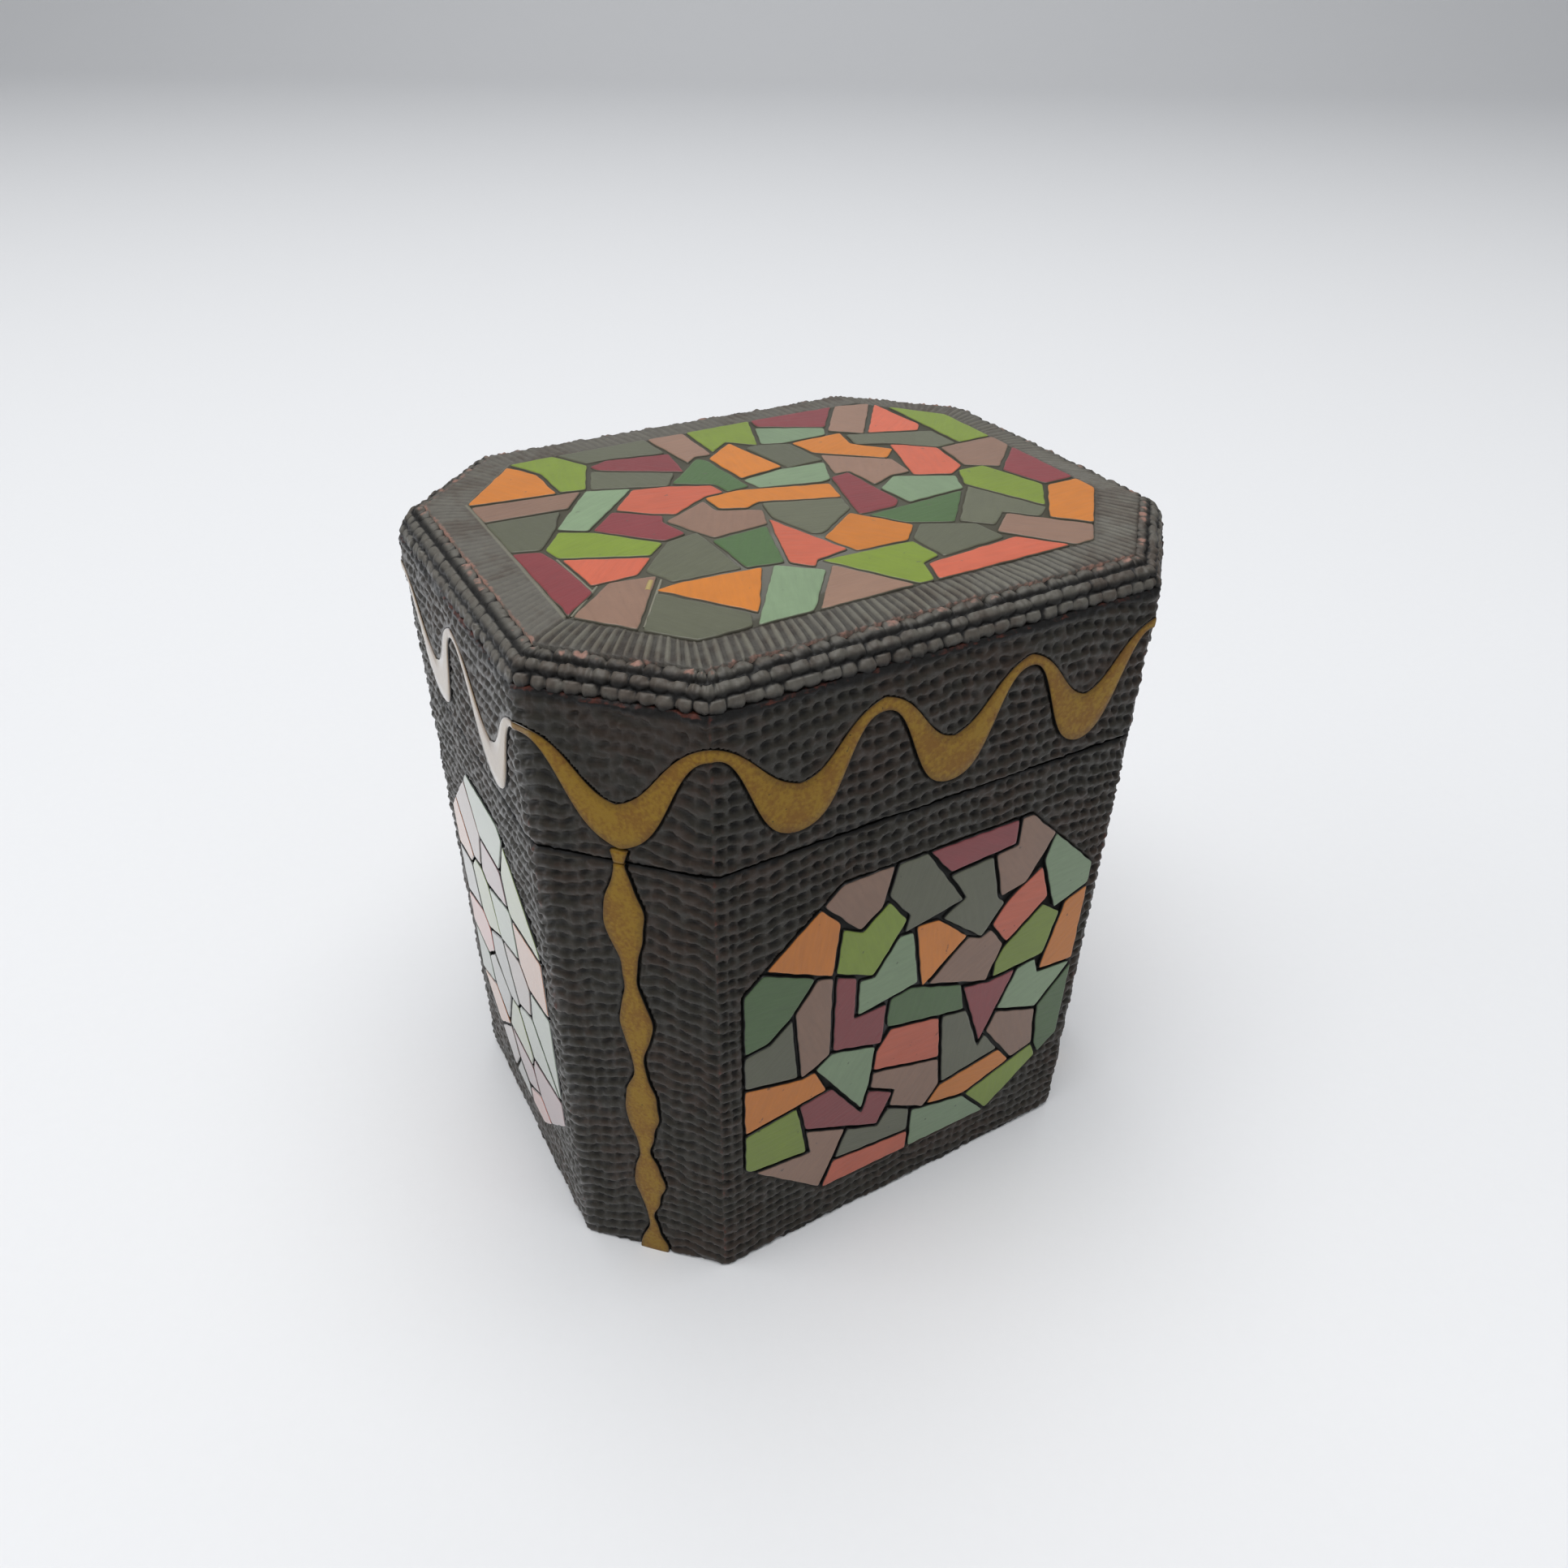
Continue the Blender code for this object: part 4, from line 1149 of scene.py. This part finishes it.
class CADDY_OT_ground(Operator):
    """Carve the gouged ground of the body and the lid."""

    bl_idname = "caddy.ground"
    bl_label = "Gouged ground"

    def execute(self, context):
        finish = finish_named("gouged_wood")
        shown = [LEFT, FRONT_LEFT, FRONT, FRONT_RIGHT]
        hidden = [RIGHT, BACK_RIGHT, BACK, BACK_LEFT]
        for sides, end in ((shown, "front"), (hidden, "back")):
            add_ground(f"body_ground_{end}", "caddy_body", sides, 0.0, BODY_TOP, BODY_SEED, finish)
        for sides, end in ((shown, "front"), (hidden, "back")):
            add_ground(f"lid_ground_{end}", "caddy_lid", sides, LID_FOOT, GROUND_TOP, LID_SEED, finish)
        return {"FINISHED"}


def with_ends(rows):
    """Marks for a grid with turned-in ends: the first row and the last once more."""
    return np.pad(rows, ((1, 1), (0, 0)), mode="edge")


class CADDY_OT_beads(Operator):
    """Carve the three rows of beads over the lid's rounded edge."""

    bl_idname = "caddy.beads"
    bl_label = "Beaded edge"

    def execute(self, context):
        """The edge is a quarter circle. Over each bead's oval let h be (1 - x^2 - y^2)^0.55 times a random
        share: the circle's radius falls by the bead's height times 1 - h, and by noise."""
        height = context.scene.caddy_sizes.bead / MM
        side, share = columns_on(range(8), BEAD_CELLS * BEAD_POINTS, closed=True)
        row = np.arange(BEAD_ROWS * BEAD_POINTS + 1) / BEAD_POINTS
        side, share, row = np.broadcast_arrays(side[None], share[None], row[:, None])
        cell = first_cell(BEAD_CELLS, side) + share * BEAD_CELLS[side]
        last = BEAD_ROWS - 0.001
        spread, dice = ovals(
            cell, np.minimum(row, last), BEAD_CELLS.sum(), BEAD_WIDTH, BEAD_HEIGHT, 0.11, 0.5, BEAD_SEED)
        rise = np.sqrt(np.clip(1 - spread, 0, 1))**1.1 * (0.82 + 0.18 * dice)
        along = share * WIDTHS[side]
        place = on_wall(side, along, 0 * along, 136 + row)
        rough = 0.15 * swell(place, 1.9, 302) + 0.13 * swell(place, 1.1, 303)
        rough = 0.10 * np.abs(swell(place, 5, 301)) + rough
        sunk = height * BEAD_STRENGTH[side] * (1 - rise) + 0.30 + rough.clip(-0.22, 0.4)
        reach = EDGE_RADIUS - sunk
        angle = row / BEAD_ROWS * math.pi / 2
        points = on_wall(
            side, along, EDGE_RADIUS - reach * np.cos(angle), TOP - EDGE_RADIUS + reach * np.sin(angle))
        low = on_wall(side[0], along[0], 2.6 + 0 * along[0], TOP - EDGE_RADIUS - 0.3 + 0 * along[0])
        high = on_wall(side[-1], along[-1], EDGE_RADIUS + 0.2 + 0 * along[0], TOP - 2.3 + 0 * along[0])
        points = np.concatenate([low[None], points, high[None]])
        # Painted shadow under each row of beads but the last, painted shade in the gaps round each bead, and
        # each wall's own painted shade over all its beads.
        under = fall(row - np.floor(row + 1e-6), 0.10, 0.85) * np.where(row < last, 0.80, 0)
        hollow = np.maximum.reduce([0.85 * fall(rise, 0.10, 0.70), under, BEAD_SHADE[side]])
        wear = 0.66 * (ease(rise, 0.35, 0.9) * ease(row, 1.9, 2.6))
        carving = Carving()
        faces = grid_faces(*points.shape[:2], closed=True)
        carving.add(points, [faces], hollow=with_ends(hollow), wear=with_ends(wear))
        make_piece("lid_beads", carving, "caddy_lid", finish_named("handled_wood"))
        return {"FINISHED"}


class CADDY_OT_border(Operator):
    """Carve the fluted border between the beads and the top mosaic."""

    bl_idname = "caddy.border"
    bl_label = "Fluted border"

    def execute(self, context):
        """Points run from the beads to the mosaic in straight lines. Ridges stand between the flutes: 1 on
        a ridge's line, easing to 0 beside it, and ended before the border's own ends. The left wall has a
        pale lip along the mosaic."""
        groove = context.scene.caddy_sizes.flute / MM
        side, share = columns_on(range(8), FLUTE_CELLS * FLUTE_POINTS, closed=True)
        side, share, across = np.broadcast_arrays(side[None], share[None], FLUTE_RINGS[:, None])
        cell = first_cell(FLUTE_CELLS, side) + share * FLUTE_CELLS[side]
        number = np.floor(cell + 1e-6).astype(int)
        total = FLUTE_CELLS.sum()
        dice = np.random.default_rng(BORDER_SEED).uniform(-1, 1, (total, 4))[number % total]
        from_middle = np.abs(cell - number - 0.5 + 0.06 * dice[..., 3])
        taper = 0.17 + 0.07 * np.sin(math.pi * across) + 0.05 * dice[..., 0]
        ends = ease(across, -0.05, 0.12 + 0.10 * dice[..., 1])
        ends = ends * fall(across, 0.86 + 0.06 * dice[..., 2], 0.97)
        ridge = fall(from_middle / taper, 0.5, 1.35) * (0.15 + 0.85 * ends)
        lip = ease(across, 0.90, 0.93) * LIP_STRENGTH[side]
        strength = FLUTE_STRENGTH[side]
        depth = 0.12 + groove * strength * (1 - ridge) * (1 - lip) + 0.06 * lip

        outer = octagon(EDGE_RADIUS - 0.1) + (HALF_LENGTH, HALF_DEPTH)
        inner = np.array(TOP_PANEL)
        place = np.stack([share * WIDTHS[side], side * 50.0], axis=-1)
        lean = 0.25 * swell(place, 9, 401) * across / WIDTHS[side]
        s = np.clip(share + lean * np.minimum(1, 10 * share * (1 - share)), 0, 1)[..., None]
        t = across[..., None]
        beside = (side + 1) % 8
        outer_place = outer[side] * (1 - s) + outer[beside] * s
        inner_place = inner[side] * (1 - s) + inner[beside] * s
        flat = outer_place * (1 - t) + inner_place * t
        depth = depth + 0.05 * swell(flat, 7, 402)
        points = on_top(flat[..., 0], flat[..., 1], np.maximum(depth, 0.05))
        low, high = points[0].copy(), points[-1].copy()
        low[:, 2] = TOP - 2.4
        high[:, 2] = TOP - 2.4
        points = np.concatenate([low[None], points, high[None]])
        # Painted shade in the flute grooves.
        hollow = 0.50 * (1 - ridge) * (1 - lip) * np.minimum(strength, 1)
        worn = fall(across, 0.0, 0.22) * BORDER_WEAR[side]
        # Painted highlight on the flute ridges; the lip along the mosaic is a real pale line.
        pale = 0.40 * ridge * ends * np.minimum(strength, 1) * (0.7 + 0.3 * dice[..., 3])
        pale = np.maximum(0.65 * lip, pale)
        carving = Carving()
        faces = grid_faces(*points.shape[:2], closed=True)
        carving.add(points, [faces], hollow=with_ends(hollow), wear=with_ends(worn), pale=with_ends(pale))
        make_piece("lid_border", carving, "caddy_lid", finish_named("handled_wood"))
        return {"FINISHED"}


class CADDY_OT_gilding(Operator):
    """Lay the gilt wave ribbon round the lid and the gilt drips down the corner faces."""

    bl_idname = "caddy.gilding"
    bl_label = "Gilt ribbon and drips"

    def execute(self, context):
        finish = finish_named("old_gold")
        side, share = columns_on(range(8), np.round(WIDTHS / STRIP_STEP).astype(int), closed=True)
        along = share * WIDTHS[side]
        upper, lower = ribbon_edges(side, along)

        def place(height, depth):
            return on_wall(side, along, depth, height)

        ribbon = Carving()
        points, faces, rim = strip(lower, upper, place, closed=True)
        ribbon.add(points, [faces], rim=rim)
        drips = Carving()
        for corner in (FRONT_RIGHT, BACK_RIGHT, BACK_LEFT, FRONT_LEFT):
            self.add_drip(ribbon, corner, LID_FOOT, DRIP_TOP)
            self.add_drip(drips, corner, 0.0, BODY_TOP)
        make_piece("gilt_ribbon", ribbon, "caddy_lid", finish)
        make_piece("gilt_drips", drips, "caddy_body", finish)
        return {"FINISHED"}

    def add_drip(self, carving, corner, low, high):
        """One drip: rows of points up it, with its two ends turned in under the surface."""
        heights = np.linspace(low, high, round((high - low) / STRIP_STEP) + 1)
        left, right = drip_edges(corner, heights)
        rows = np.r_[0, np.arange(len(heights)), len(heights) - 1]
        buried = np.zeros(len(rows))
        buried[[0, -1]] = 1.5
        heights, left, right = heights[rows], left[rows], right[rows]

        def place(along, depth):
            return on_wall(corner, along.T, np.maximum(depth.T, buried[:, None]), heights[:, None])

        points, _, rim = strip(left, right, place, closed=False)
        carving.add(points, [grid_faces(*points.shape[:2])], rim=rim.T)


# Filler lines on the top: start, end, paint, half width and depth.
FILLER_LINES = (
    ((19.3, 35.4), (18.5, 49.0), "cream", 0.28, 0.20), ((13.2, 29.0), (20.6, 36.8), "cream", 0.28, 0.20),
    ((21.6, 20.6), (30.6, 34.2), "cream", 0.30, 0.20), ((27.0, 31.6), (28.9, 34.4), "straw", 0.60, 0.02),
)
RULED_PITCH = 13.5


class CADDY_OT_mosaics(Operator):
    """Set the crazy-paved mosaics into the four walls and the top."""

    bl_idname = "caddy.mosaics"
    bl_label = "Mosaic panels"

    def execute(self, context):
        joint = context.scene.caddy_sizes.joint / MM
        finish = finish_named("brushed_paint")
        shades = paints()
        left = panel_outline(LEFT)
        left_cells = nearest_cells(left, np.array([middle for _, *middle in LEFT_TILES], float))
        walls = {
            "front": (FRONT, FRONT_TILES),
            "left": (LEFT, [(name, cell) for (name, *_), cell in zip(LEFT_TILES, left_cells)]),
            "right": (RIGHT, paved_by_rule(panel_outline(RIGHT), RULED_PITCH, 51)),
            "back": (BACK, paved_by_rule(panel_outline(BACK), RULED_PITCH, 52)),
        }
        for name, (wall, tiles) in walls.items():
            def place(along, height, depth, wall=wall):
                return on_wall(wall, along, depth, height)

            # The walls' tiles are darkened more than the top's: painted shade.
            add_mosaic(
                f"mosaic_{name}", "caddy_body", panel_outline(wall), tiles, place, joint, shades, finish,
                bed_depth=0.85, lines=(), paint_darkening_and_shade=0.68)
        outline = inset_outline(np.array(TOP_PANEL), -0.1)
        # The top's bed and joints take a greyer paint, partly a painted sheen.
        shades["joint"] = shades["joint_top"]
        add_mosaic(
            "mosaic_top", "caddy_lid", outline, TOP_TILES, on_top, joint, shades, finish_named("top_paint"),
            bed_depth=0.40, lines=FILLER_LINES, paint_darkening_and_shade=0.78)
        return {"FINISHED"}


class CADDY_OT_stage(Operator):
    """Lay the pale floor and backdrop, and set the lights and the camera."""

    bl_idname = "caddy.stage"
    bl_label = "Studio stage"

    def execute(self, context):
        context.scene.view_settings.view_transform = "Standard"
        self.add_floor()
        self.add_lights(context)
        self.add_camera(context)
        return {"FINISHED"}

    def add_floor(self):
        """A sheet that runs flat, turns up over a quarter circle and stands as a backdrop."""
        bend, behind, reach, height = 1.2, 2.4, 5.0, 4.0
        turned = math.radians(-30.0)
        angle = np.linspace(0, math.pi / 2, 24)
        back = np.r_[-reach, behind + bend * np.sin(angle), behind + bend]
        rise = np.r_[0.0, bend * (1 - np.cos(angle)), height]
        across = np.linspace(-reach, reach, 9)
        x = across[None] * math.cos(turned) - back[:, None] * math.sin(turned)
        y = across[None] * math.sin(turned) + back[:, None] * math.cos(turned)
        points = np.stack([x, y, rise[:, None] + 0 * x], axis=-1)
        mesh = bpy.data.meshes.new("floor")
        mesh.from_pydata(points.reshape(-1, 3).tolist(), [], grid_faces(*x.shape).tolist())
        mesh.polygons.foreach_set("use_smooth", [True] * len(mesh.polygons))
        mesh.materials.append(finish_named("pale_paper"))
        floor = bpy.data.objects.new("floor", mesh)
        bpy.context.scene.collection.objects.link(floor)

    def add_lights(self, context):
        """Three soft boxes, one above, one at the left towards the back and a faint one on the backdrop, in
        a pale room. Each box: its place, what it points at, its width and its power."""
        world = bpy.data.worlds.new("pale_room")
        world.use_nodes = True
        room = world.node_tree.nodes["Background"].inputs
        room["Color"].default_value = (0.89, 0.91, 0.94, 1)
        room["Strength"].default_value = 0.34
        context.scene.world = world
        for name, place, aim, wide, power in (
            ("overhead", (-0.15, -0.1, 2.0), (0, 0, 0.05), 1.8, 36),
            ("window", (-2.2, 0.8, 1.3), (0, 0, 0.05), 1.6, 9),
            ("backdrop_wash", (1.0, 1.75, 2.6), (1.35, 2.35, 0.0), 2.0, 8),
        ):
            light = bpy.data.lights.new(name, "AREA")
            light.shape = "SQUARE"
            light.size = wide
            light.energy = power
            box = bpy.data.objects.new(name, light)
            turn = (Vector(place) - Vector(aim)).to_track_quat("Z", "Y")
            box.matrix_world = Matrix.Translation(place) @ turn.to_matrix().to_4x4()
            context.scene.collection.objects.link(box)

    def add_camera(self, context):
        """The camera at the photograph's place: its angles round and above the caddy, and its small roll."""
        place = (-0.10270, -0.17669, 0.22291)
        around, above, roll = math.radians(-30.151), math.radians(35.829), math.radians(0.897)
        level = math.cos(above)
        back = Vector((math.sin(around) * level, -math.cos(around) * level, math.sin(above)))
        right = Vector((0, 0, 1)).cross(back).normalized()
        up = back.cross(right)
        turned_right = right * math.cos(roll) + up * math.sin(roll)
        turned_up = up * math.cos(roll) - right * math.sin(roll)
        lens = bpy.data.cameras.new("camera")
        lens.sensor_width = 36.0
        lens.lens = 26.737
        lens.clip_start = 0.01
        camera = bpy.data.objects.new("camera", lens)
        turn = Matrix((turned_right, turned_up, back)).transposed()
        camera.matrix_world = Matrix.Translation(place) @ turn.to_4x4()
        context.scene.collection.objects.link(camera)
        context.scene.camera = camera


OPERATORS = (
    CADDY_OT_cores, CADDY_OT_ground, CADDY_OT_beads, CADDY_OT_border, CADDY_OT_gilding, CADDY_OT_mosaics,
    CADDY_OT_stage,
)


class CADDY_PT_panel(Panel):
    """The caddy's sizes, paints and pieces."""

    bl_idname = "CADDY_PT_panel"
    bl_label = "Tea caddy"
    bl_space_type = "VIEW_3D"
    bl_region_type = "UI"
    bl_category = "Caddy"

    def draw(self, context):
        for group in (context.scene.caddy_sizes, context.scene.caddy_paints):
            for name in group.bl_rna.properties.keys():
                if name not in ("rna_type", "name"):
                    self.layout.prop(group, name)
        for operator in OPERATORS:
            self.layout.operator(operator.bl_idname)


CLASSES = (CaddySizes, CaddyPaints, *OPERATORS, CADDY_PT_panel)


def register():
    for kind in CLASSES:
        bpy.utils.register_class(kind)
    bpy.types.Scene.caddy_sizes = PointerProperty(type=CaddySizes)
    bpy.types.Scene.caddy_paints = PointerProperty(type=CaddyPaints)


def unregister():
    del bpy.types.Scene.caddy_paints
    del bpy.types.Scene.caddy_sizes
    for kind in reversed(CLASSES):
        bpy.utils.unregister_class(kind)


def main():
    """Registers the add-on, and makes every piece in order."""
    register()
    bpy.ops.caddy.cores()
    bpy.ops.caddy.ground()
    bpy.ops.caddy.beads()
    bpy.ops.caddy.border()
    bpy.ops.caddy.gilding()
    bpy.ops.caddy.mosaics()
    bpy.ops.caddy.stage()


if __name__ == "__main__":
    main()
